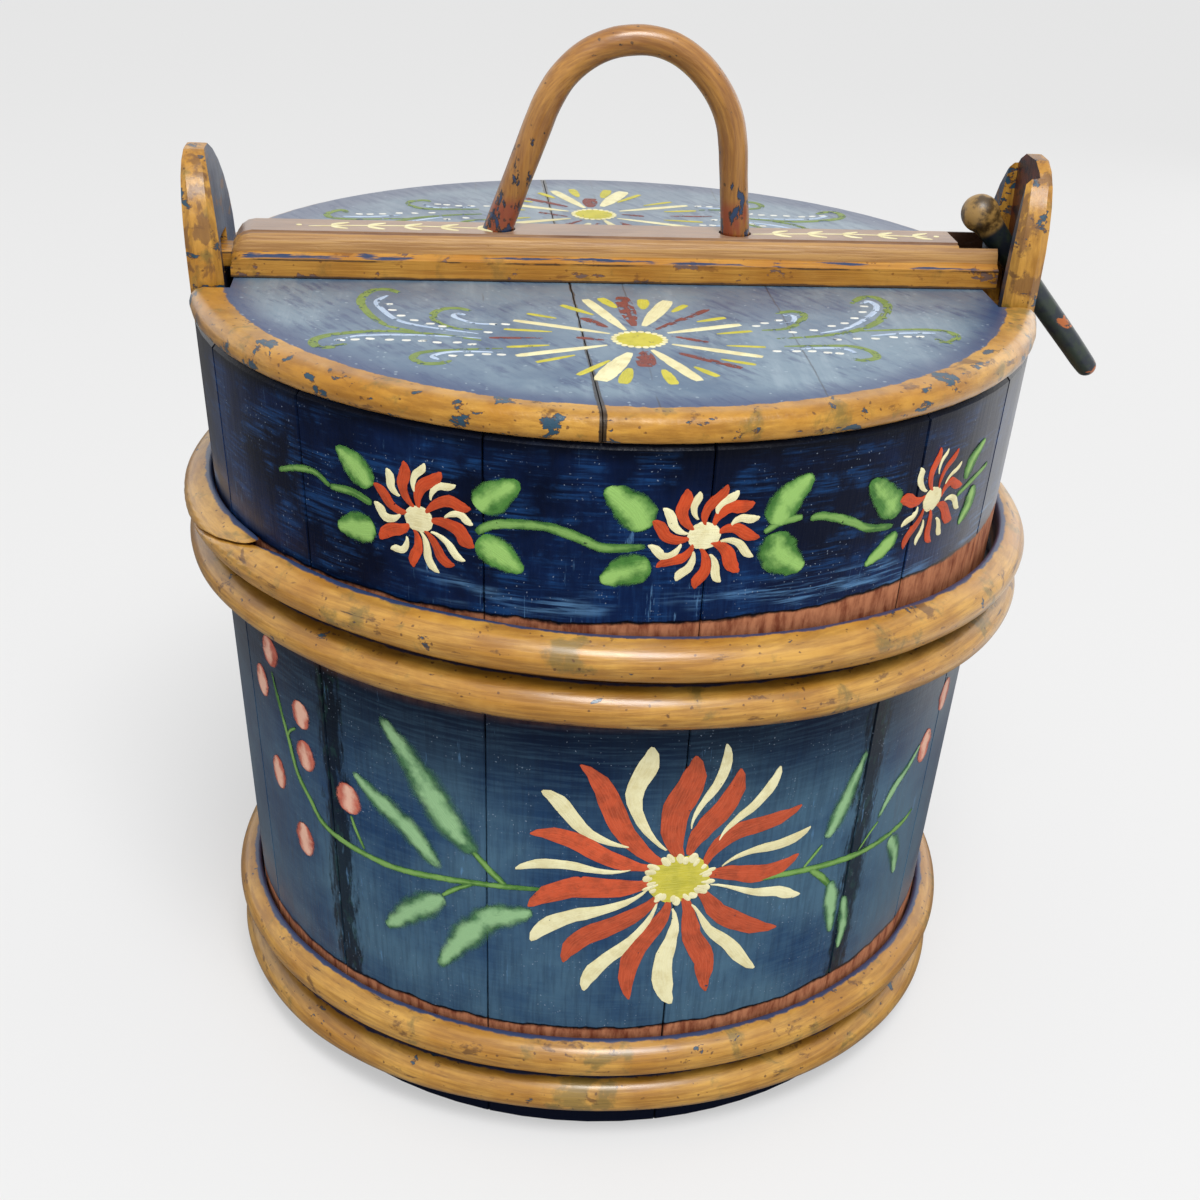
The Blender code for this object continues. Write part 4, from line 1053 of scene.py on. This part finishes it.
upperLeaves = [   # along the wall from the middle of the front, and height
    ("leaf", 8.0, [(-73.0, 216.3), (-77.8, 221.4), (-83.6, 225.6)]), ("leaf", 8.6, [(-72.4, 205.1), (-78.2, 203.1), (-85.0, 201.5)]),
    ("stem", 2.7, [(-86.7, 212.9), (-79.2, 213.4), (-73.0, 211.6)]),
    ("leaf", 8.8, [(-43.2, 216.3), (-39.2, 220.5), (-32.6, 225.7)]), ("leaf", 8.6, [(-43.4, 207.5), (-38.1, 204.3), (-31.6, 199.6)]),
    ("stem", 3.2, [(-43.6, 209.5), (-38.9, 212.6), (-27.1, 213.8), (-18.3, 211.4), (-11.5, 208.7), (-1.0, 209.3)]),
    ("leaf", 9.6, [(-1.5, 214.1), (-5.3, 220.4), (-11.8, 225.9)]), ("leaf", 8.6, [(0.4, 204.1), (-5.8, 202.0), (-12.2, 198.7)]),
    ("leaf", 8.6, [(31.6, 213.4), (34.1, 220.6), (40.8, 227.4)]), ("leaf", 10.6, [(32.6, 211.8), (33.9, 204.8), (41.3, 199.6)]),
    ("stem", 2.6, [(28.7, 211.9), (33.6, 214.6), (39.2, 215.2)]),
    ("stem", 2.8, [(41.3, 214.4), (45.6, 214.5), (54.1, 211.3), (60.0, 208.1), (69.2, 206.5)]),
    ("leaf", 8.6, [(70.6, 209.6), (64.7, 216.2), (58.8, 222.6)]), ("leaf", 5.4, [(71.3, 204.2), (66.9, 200.0), (61.1, 196.1)]),
    ("leaf", 5.4, [(100.1, 211.9), (102.4, 217.4), (108.7, 222.0)]), ("leaf", 6.5, [(106.1, 208.4), (105.6, 202.8), (101.1, 197.4)]),
    ("stem", 2.2, [(96.7, 208.1), (104.3, 210.2), (114.3, 212.5)]),
    ("stem", 2.2, [(-86.7, 212.9), (-92.0, 215.5), (-99.0, 214.6), (-107.0, 211.5)]),
]
lowerLeaves = [
    ("stem", 2.6, [(-24.1, 94.6), (-32.8, 94.0), (-43.9, 93.1), (-56.4, 91.8), (-70.7, 90.1), (-82.2, 90.3), (-95.0, 91.5),
                   (-102.8, 93.8), (-107.7, 99.6), (-113.7, 106.3), (-117.3, 118.0), (-121.2, 129.5), (-123.7, 138.4)]),
    ("stem", 1.6, [(-83.9, 92.1), (-87.3, 98.7), (-88.6, 102.9)]), ("stem", 1.2, [(-117.8, 117.9), (-115.6, 121.3), (-112.2, 123.8)]),
    ("stem", 2.4, [(-36.0, 94.3), (-40.4, 98.4), (-46.4, 105.1)]),
    ("leaf", 9.0, [(-56.2, 94.9), (-66.9, 106.8), (-77.9, 113.7), (-86.6, 119.9)]),
    ("leaf", 12.0, [(-45.0, 103.1), (-54.9, 115.3), (-63.7, 129.6), (-74.9, 144.2)]),
    ("leaf", 10.0, [(-55.0, 85.0), (-65.8, 76.9), (-77.5, 65.1)]), ("stem", 1.8, [(-56.2, 85.3), (-51.5, 89.2), (-45.8, 92.7)]),
    ("leaf", 10.5, [(-37.0, 85.4), (-47.5, 73.6), (-58.4, 56.6)]), ("leaf", 9.6, [(-44.7, 77.5), (-36.4, 82.5), (-27.5, 85.8)]),
    ("leaf", 7.6, [(64.1, 101.6), (67.9, 109.1), (71.3, 118.4), (75.8, 130.6)]),
    ("leaf", 4.6, [(87.7, 99.4), (94.5, 108.6), (101.6, 113.3), (107.7, 119.0)]),
    ("stem", 2.6, [(40.8, 93.9), (46.8, 93.7), (58.3, 92.4), (69.2, 91.0), (80.9, 89.5), (92.2, 89.1), (105.4, 89.4), (112.6, 91.3)]),
    ("stem", 1.4, [(56.6, 93.4), (63.2, 100.2)]), ("stem", 1.2, [(80.1, 90.6), (84.7, 95.4), (88.6, 98.4)]),
    ("stem", 2.7, [(59.6, 91.9), (64.7, 87.3), (69.4, 81.9)]), ("leaf", 7.0, [(69.1, 84.1), (71.5, 73.3), (73.5, 61.4)]),
    ("leaf", 5.4, [(76.9, 75.0), (79.2, 62.6), (78.8, 52.3)]), ("leaf", 7.6, [(98.0, 87.5), (103.8, 79.2), (107.2, 68.3)]),
]
berries = [
    (-123.5, 145.7, 10.0, 12.4), (-131.6, 131.8, 9.0, 13.4), (-108.6, 130.3, 9.4, 11.8), (-108.2, 115.7, 9.6, 13.2),
    (-126.5, 100.4, 9.0, 14.6), (-113.3, 81.7, 10.6, 15.0), (-89.2, 108.9, 10.8, 13.2), (111.4, 116.1, 9.4, 14.6),
    (121.4, 130.5, 9.4, 14.0),
]


def paintFlower(place, petals, shapes, centre, name, slim=0.80, curl=0.06):
    for tone, width, points in petals:
        group = name + ("_red" if tone == "red" else "_cream")
        start = Vector(points[0])
        start -= start.normalized() * min(1.6 if tone == "red" else 0.8, start.length * 0.3)
        paintStroke(group, place, [tuple(start)] + points[1:], width * slim, shapes[tone], 1.3, curl)
    half = centre * 1.06
    paintStroke(name + "_heart", place, [(-half, 0), (half, 0)], centre * 1.9, "round", 1.5)


def paintWall():
    small = {"red": "smallPetal", "cream": "smallPetal"}
    big = {"red": "redPetal", "cream": "creamPetal"}
    spread = tub["unrollRadius"] / 0.1267
    for turn, name in ((0, "front"), (180, "back")):
        paintFlower(wallFrom(-117.8 + turn, 210.4, spread), flowerOne, small, 4.0, f"upper_flowers_{name}")
        paintFlower(wallFrom(-83.8 + turn, 212.2, spread), flowerTwo, small, 4.2, f"upper_flowers_{name}")
        paintFlower(wallFrom(-50.5 + turn, 210.7, 1.0), flowerThree, small, 3.8, f"upper_flowers_{name}")
        paintFlower(wallFrom(-83.0 + turn, 99.0, 1.0115), bigFlower, big, 9.2, f"big_flower_{name}", 0.94, 0.045)
        around = wallFrom(-90 + turn, 0)
        for kind, width, points in upperLeaves + lowerLeaves:
            band = "upper" if points[0][1] > 170 else "lower"
            paintStroke(f"{band}_{kind}_{name}", around, points, width, kind, 1.0 if kind == "leaf" else 0.7)
        for across, up, wide, tall in berries:
            paintStroke(f"berries_{name}", around, [(across, up - tall * 0.43), (across, up + tall * 0.43)], wide, "round", 1.2)
        # cream dabs round the big flower's yellow heart
        heart = wallFrom(-83.0 + turn, 99.0, 1.0115)
        for index in range(24):
            way = 2 * math.pi * index / 24 + draws.uniform(-0.12, 0.12)
            near, far = 7.0 + draws.uniform(-1.2, 0.8), 10.6 + draws.uniform(-1.2, 1.2)
            dabAt = [(near * math.cos(way), near * math.sin(way) * 0.86), (far * math.cos(way + 0.1), far * math.sin(way + 0.1) * 0.86)]
            paintStroke(f"big_flower_{name}_cream", heart, dabAt, draws.uniform(1.8, 2.9), "round", 1.7)


lidRays = [
    ("cream", 3.6, [(-2.1, -59.0), (-11.5, -29.9)]), ("cream", 4.7, [(3.6, -54.9), (13.3, -30.1)]),
    ("cream", 2.9, [(9.7, -61.0), (31.9, -52.3)]), ("cream", 2.9, [(9.8, -70.9), (33.7, -80.8)]),
    ("cream", 3.8, [(3.7, -76.0), (13.7, -100.7)]), ("cream", 5.5, [(-2.7, -78.6), (-12.6, -101.6)]),
    ("cream", 2.8, [(-8.4, -72.4), (-33.9, -82.4)]), ("cream", 2.6, [(-6.8, -62.2), (-33.5, -51.2)]),
    ("yellow", 3.3, [(-3.0, -37.9), (-6.8, -28.3)]), ("yellow", 3.6, [(5.0, -38.8), (6.0, -29.0)]),
    ("yellow", 2.4, [(13.3, -41.2), (18.3, -34.0)]), ("yellow", 2.2, [(19.5, -50.2), (28.4, -45.8)]),
    ("yellow", 1.8, [(23.7, -61.2), (34.3, -58.1)]), ("yellow", 1.6, [(25.0, -71.5), (35.9, -72.3)]),
    ("yellow", 2.0, [(21.8, -83.1), (30.7, -87.4)]), ("yellow", 2.4, [(13.6, -89.6), (19.0, -97.3)]),
    ("yellow", 3.3, [(5.0, -92.2), (6.6, -103.8)]), ("yellow", 3.6, [(-3.9, -91.4), (-6.8, -103.6)]),
    ("yellow", 2.1, [(-8.8, -85.2), (-18.2, -97.4)]), ("yellow", 2.4, [(-10.2, -45.0), (-19.0, -35.9)]),
    ("yellow", 1.9, [(-21.1, -48.8), (-29.4, -44.6)]), ("yellow", 1.8, [(-23.0, -61.2), (-36.5, -59.4)]),
    ("yellow", 1.8, [(-24.4, -73.0), (-36.2, -75.1)]), ("yellow", 1.8, [(-17.9, -81.2), (-28.7, -87.5)]),
    ("fadedRed", 4.9, [(0.7, -55.0), (-0.3, -26.5)]), ("fadedRed", 2.4, [(6.0, -58.6), (24.5, -37.9)]),
    ("fadedRed", 2.9, [(-7.0, -56.6), (-13.6, -47.8)]), ("fadedRed", 2.0, [(-8.8, -68.0), (-16.5, -65.9)]),
    ("fadedRed", 5.5, [(1.6, -77.3), (0.7, -90.1)]), ("fadedRed", 2.7, [(9.0, -77.0), (26.4, -90.3)]),
    ("fadedRed", 2.0, [(10.6, -63.5), (20.3, -68.8)]), ("fadedRed", 1.6, [(-25.9, -67.0), (-40.8, -67.2)]),
]
lidScrolls = [
    ("scroll", 2.4, [(37.3, -57.2), (44.1, -55.7), (49.2, -50.2), (52.4, -42.0), (49.6, -38.8), (44.1, -41.0)]),
    ("scroll", 2.8, [(40.4, -64.7), (53.5, -61.7), (65.3, -56.0), (74.1, -46.4), (79.9, -32.3), (78.4, -23.8), (74.1, -23.4), (69.2, -30.0)]),
    ("scroll", 2.4, [(65.1, -56.8), (83.9, -54.4), (91.7, -56.1), (93.4, -61.2), (89.0, -66.5), (86.7, -62.8)]),
    ("scroll", 2.4, [(41.3, -71.4), (51.8, -70.5), (60.5, -70.6), (65.2, -74.8), (65.6, -80.1), (61.1, -82.6), (58.3, -81.0)]),
    ("scroll", 2.4, [(-42.5, -60.1), (-49.6, -59.3), (-54.8, -54.6), (-56.4, -47.2), (-54.1, -42.0), (-49.5, -40.5), (-45.6, -42.9)]),
    ("scroll", 2.7, [(-61.5, -62.2), (-69.0, -57.7), (-74.7, -46.8), (-77.6, -34.1), (-74.8, -24.5), (-70.1, -22.9), (-66.1, -26.8)]),
    ("scroll", 2.7, [(-43.0, -69.6), (-54.1, -65.4), (-68.9, -62.5), (-82.0, -65.4), (-88.2, -70.4), (-87.8, -76.1), (-83.5, -77.0), (-79.7, -73.9)]),
    ("scroll", 2.4, [(-37.3, -76.3), (-50.4, -78.0), (-59.0, -80.5), (-61.4, -85.0), (-58.9, -89.3), (-54.0, -89.1), (-51.1, -85.7)]),
    ("white", 1.6, [(43.6, -51.0), (47.7, -48.9), (49.1, -43.5), (46.0, -42.3)]),
    ("white", 1.9, [(54.0, -59.1), (63.4, -53.5), (72.8, -41.0), (76.4, -32.5), (75.0, -27.4), (72.3, -29.9)]),
    ("white", 1.4, [(68.3, -61.0), (78.9, -58.0), (88.0, -57.6)]), ("white", 1.5, [(42.3, -74.5), (51.4, -72.4), (58.4, -73.1), (60.7, -77.4)]),
    ("white", 1.6, [(-38.2, -55.1), (-45.0, -54.2), (-50.3, -48.7), (-49.5, -45.6), (-47.2, -46.8)]),
    ("white", 1.8, [(-43.7, -63.8), (-57.8, -58.4), (-66.2, -52.7), (-71.0, -42.8), (-72.9, -35.1), (-69.9, -28.9)]),
    ("white", 1.4, [(-43.0, -67.8), (-61.4, -65.7), (-76.1, -66.8), (-83.1, -71.3)]), ("white", 1.6, [(-37.4, -79.7), (-50.4, -79.5), (-56.1, -83.3), (-54.7, -86.3)]),
]
lidDabs = [
    (36.3, -53.4), (39.2, -50.6), (43.8, -47.8), (46.0, -58.7), (52.5, -56.6), (58.6, -52.4), (63.0, -49.6), (67.0, -44.6), (70.8, -38.4),
    (72.5, -32.7), (57.7, -64.8), (63.6, -63.8), (69.0, -63.5), (74.6, -62.0), (78.9, -61.3), (82.6, -61.2), (38.5, -75.8), (44.0, -75.6),
    (48.4, -75.5), (52.6, -76.5), (55.8, -77.1), (-69.3, -37.6), (-68.1, -43.2), (-65.5, -48.4), (-61.7, -52.5), (-57.1, -55.5),
    (-53.7, -57.7), (-41.0, -62.5), (-81.3, -71.2), (-77.4, -70.4), (-73.4, -69.5), (-68.1, -70.2), (-63.5, -70.5), (-59.1, -70.8),
    (-55.1, -72.0), (-49.6, -71.8), (-45.6, -73.2), (-50.8, -83.1), (-46.5, -82.3), (-41.8, -81.4), (-37.8, -81.7), (-35.9, -55.0), (-39.4, -55.1),
]


def paintLid():
    for way, shift, name in ((1, 0.0, "front"), (-1, -0.0045, "back")):
        def place(across, up, lift, way=way, shift=shift):
            return Vector((tub["axisX"] + across * way, up * way + shift * (way < 0) * -1, tub["lidTop"] + lift))
        for kind, width, points in lidRays + lidScrolls:
            shape = "ray" if kind in ("cream", "yellow", "fadedRed") else "scroll"
            paintStroke(f"lid_{kind}_{name}", place, points, width, shape, 0.5 if kind == "fadedRed" else 0.9)
        for across, up in lidDabs:
            turn = draws.uniform(-0.3, 0.3)
            points = [(across - 1.3, up - turn), (across + 1.3, up + turn)]
            paintStroke(f"lid_dab_{name}", place, points, 1.6, "round", 1.4)
        paintStroke(f"lid_yellow_{name}", place, [(-6.4, -67.1), (8.6, -67.1)], 13.5, "round", 0.8)
        for index in range(22):
            spin = 2 * math.pi * index / 22
            across, up = 1.1 + 7.2 * math.cos(spin), -67.1 + 6.8 * math.sin(spin)
            paintStroke(f"lid_cream_{name}", place, [(across - 0.9, up), (across + 0.9, up)], 1.8, "round", 1.3)


barSprigs = {   # a plain sprig of comma strokes and dots on the bar's top, either side of the handle
    "middles": (-0.0665, 0.0705),
    "halfLength": 0.028,
    "leaves": 5,
}


def paintBar():
    def place(across, up, lift):
        return Vector((tub["axisX"] + across, up, tub["barTop"] + lift))
    for middle in barSprigs["middles"]:
        start, end = (middle - barSprigs["halfLength"]) / mm, (middle + barSprigs["halfLength"]) / mm
        paintStroke("bar_sprig", place, [(start, -1.2), ((start + end) / 2, 0.8), (end, -0.6)], 0.9, "stem", 0.8)
        for index in range(barSprigs["leaves"]):
            at = start + (end - start) * (index + 0.6) / barSprigs["leaves"]
            for side in (-1, 1):
                points = [(at, 0.3 * side), (at + 2.2, 2.2 * side), (at + 5.4, 3.6 * side)]
                paintStroke("bar_sprig", place, points, 1.8, "leaf", 1.0)
        for at in (start - 3, end + 3):
            paintStroke("bar_sprig", place, [(at - 0.9, 0), (at + 0.9, 0)], 1.8, "round", 1.2)


paintWall()
paintLid()
paintBar()

strokeKinds = {
    "_red": "red", "_cream": "cream", "_heart": "cream", "lid_yellow": "yellow", "lower_leaf": "lowLeaf", "leaf": "leaf", "stem": "stem",
    "berries": "berry", "scroll": "scroll", "white": "white", "dab": "dab", "fadedRed": "fadedRed", "bar_sprig": "cream",
}
for group, strokes in painted.items():
    bpy.ops.object.select_all(action="DESELECT")
    for piece in strokes:
        piece.select_set(True)
    bpy.context.view_layer.objects.active = strokes[0]
    bpy.ops.object.join()
    piece = bpy.context.view_layer.objects.active
    piece.name = group
    smoothBy(piece, 50)
    kind = next(value for key, value in strokeKinds.items() if key in group)
    if group.startswith("big_flower"):
        kind = {"_red": "bigRed", "_cream": "cream", "_heart": "yellow"}[group[group.rindex("_"):]]
    finishPiece(piece, "lid" if group.startswith(("lid_", "bar_")) else "tub", None, strokePaints[kind])
for blank in blanks.values():
    bpy.data.objects.remove(blank)
print("decoration painted:", len(painted), "pieces")


# ---------- floor, light and camera ----------

studio = {
    "floor": colour(236, 236, 236),
    "litShare": 0.45,     # what of the floor's level follows the light
    "glow": 0.465,        # and what is even
    "mirrorLoss": 0.80,   # how much darker the floor is in reflections, left of mirrorFrom
    "mirrorFrom": 0.20,
    "worldStrength": 0.58,
    "sunStrength": 0.95,
    "sunFrom": (0.12, -0.50, 0.86),
    "sunWidth": 24.0,
    "lamps": (   # name, place, power, size
        ("front", (0.06, -0.60, 1.15), 6.4, 0.42),
        ("backRight", (1.05, 0.85, 0.55), 1.5, 0.8),
        ("backLeft", (-1.05, 0.80, 0.50), 0.5, 0.8),
    ),
}


def makeFloorPaint():
    material, tree, shader, place = newMaterial("studio_floor")
    level = studio["floor"][0]
    shader.inputs["Base Color"].default_value = (*[level * studio["litShare"]] * 3, 1)
    shader.inputs["Roughness"].default_value = 0.9
    shader.inputs["Specular IOR Level"].default_value = 0.0
    shader.inputs["Emission Color"].default_value = (1, 1, 1, 1)
    shader.inputs["Emission Strength"].default_value = studio["glow"]
    across = put(tree, "SeparateXYZ", {0: place}).outputs["X"]
    loss = times(tree, rise(tree, across, studio["mirrorFrom"] + 0.12, studio["mirrorFrom"]), studio["mirrorLoss"])
    mirrored = math2(tree, "MULTIPLY", put(tree, "LightPath").outputs["Is Glossy Ray"], loss)
    dark = put(tree, "BsdfDiffuse", {"Color": (0, 0, 0, 1)})
    mix = put(tree, "MixShader", {0: mirrored, 1: shader.outputs[0], 2: dark.outputs[0]})
    tree.links.new(mix.outputs[0], tree.nodes["Material Output"].inputs["Surface"])
    return material


def makeStage():
    bpy.ops.object.select_all(action="DESELECT")
    bpy.ops.mesh.primitive_plane_add(size=8, location=(0, 0, 0))
    floor = bpy.context.active_object
    floor.name = "studio_floor"
    floor.data.materials.append(makeFloorPaint())
    world = bpy.data.worlds.new("studio")
    bpy.context.scene.world = world
    world.use_nodes = True
    tree = world.node_tree
    tree.nodes.clear()
    path = put(tree, "LightPath").outputs
    seen = math2(tree, "MAXIMUM", path["Is Camera Ray"], math2(tree, "MAXIMUM", path["Is Glossy Ray"], path["Is Transmission Ray"]))
    light = put(tree, "Background", {"Color": (1, 1, 1, 1), "Strength": studio["worldStrength"]})
    view = put(tree, "Background", {"Color": studio["floor"], "Strength": 1.0})
    mix = put(tree, "MixShader", {0: seen, 1: light.outputs[0], 2: view.outputs[0]})
    tree.links.new(mix.outputs[0], put(tree, "OutputWorld").inputs[0])
    sun = bpy.data.objects.new("sun", bpy.data.lights.new("sun", "SUN"))
    sun.data.energy = studio["sunStrength"]
    sun.data.angle = math.radians(studio["sunWidth"])
    sun.rotation_euler = (-Vector(studio["sunFrom"])).to_track_quat("-Z", "Y").to_euler()
    bpy.context.scene.collection.objects.link(sun)
    for name, place, power, size in studio["lamps"]:
        lamp = bpy.data.objects.new(name, bpy.data.lights.new(name, "AREA"))
        lamp.data.energy = power
        lamp.data.size = size
        lamp.location = place
        lamp.rotation_euler = (Vector((0, 0, 0.13)) - Vector(place)).to_track_quat("-Z", "Y").to_euler()
        bpy.context.scene.collection.objects.link(lamp)


camera = {
    "azimuth": -5.7088,
    "elevation": 26.8104,
    "distance": 0.5861,
    "aim": (tub["axisX"], 0.0, 0.1303),
    "roll": 2.5631,
    "lens": 51.0,
}


def makeCamera():
    turn, tilt, roll = (math.radians(camera[key]) for key in ("azimuth", "elevation", "roll"))
    back = Vector((math.sin(turn) * math.cos(tilt), -math.cos(turn) * math.cos(tilt), math.sin(tilt)))
    right = Vector((math.cos(turn), math.sin(turn), 0))
    up = back.cross(right)
    rolledRight = right * math.cos(roll) + up * math.sin(roll)
    rolledUp = up * math.cos(roll) - right * math.sin(roll)
    eye = bpy.data.objects.new("camera", bpy.data.cameras.new("camera"))
    place = Vector(camera["aim"]) + back * camera["distance"]
    eye.matrix_world = Matrix((rolledRight, rolledUp, back)).transposed().to_4x4()
    eye.location = place
    eye.data.lens = camera["lens"]
    eye.data.sensor_width = 36
    eye.data.sensor_fit = "AUTO"
    eye.data.clip_start = 0.01
    bpy.context.scene.collection.objects.link(eye)
    bpy.context.scene.camera = eye


makeStage()
makeCamera()
bpy.context.scene.view_settings.view_transform = "Standard"
print("stage and camera set")
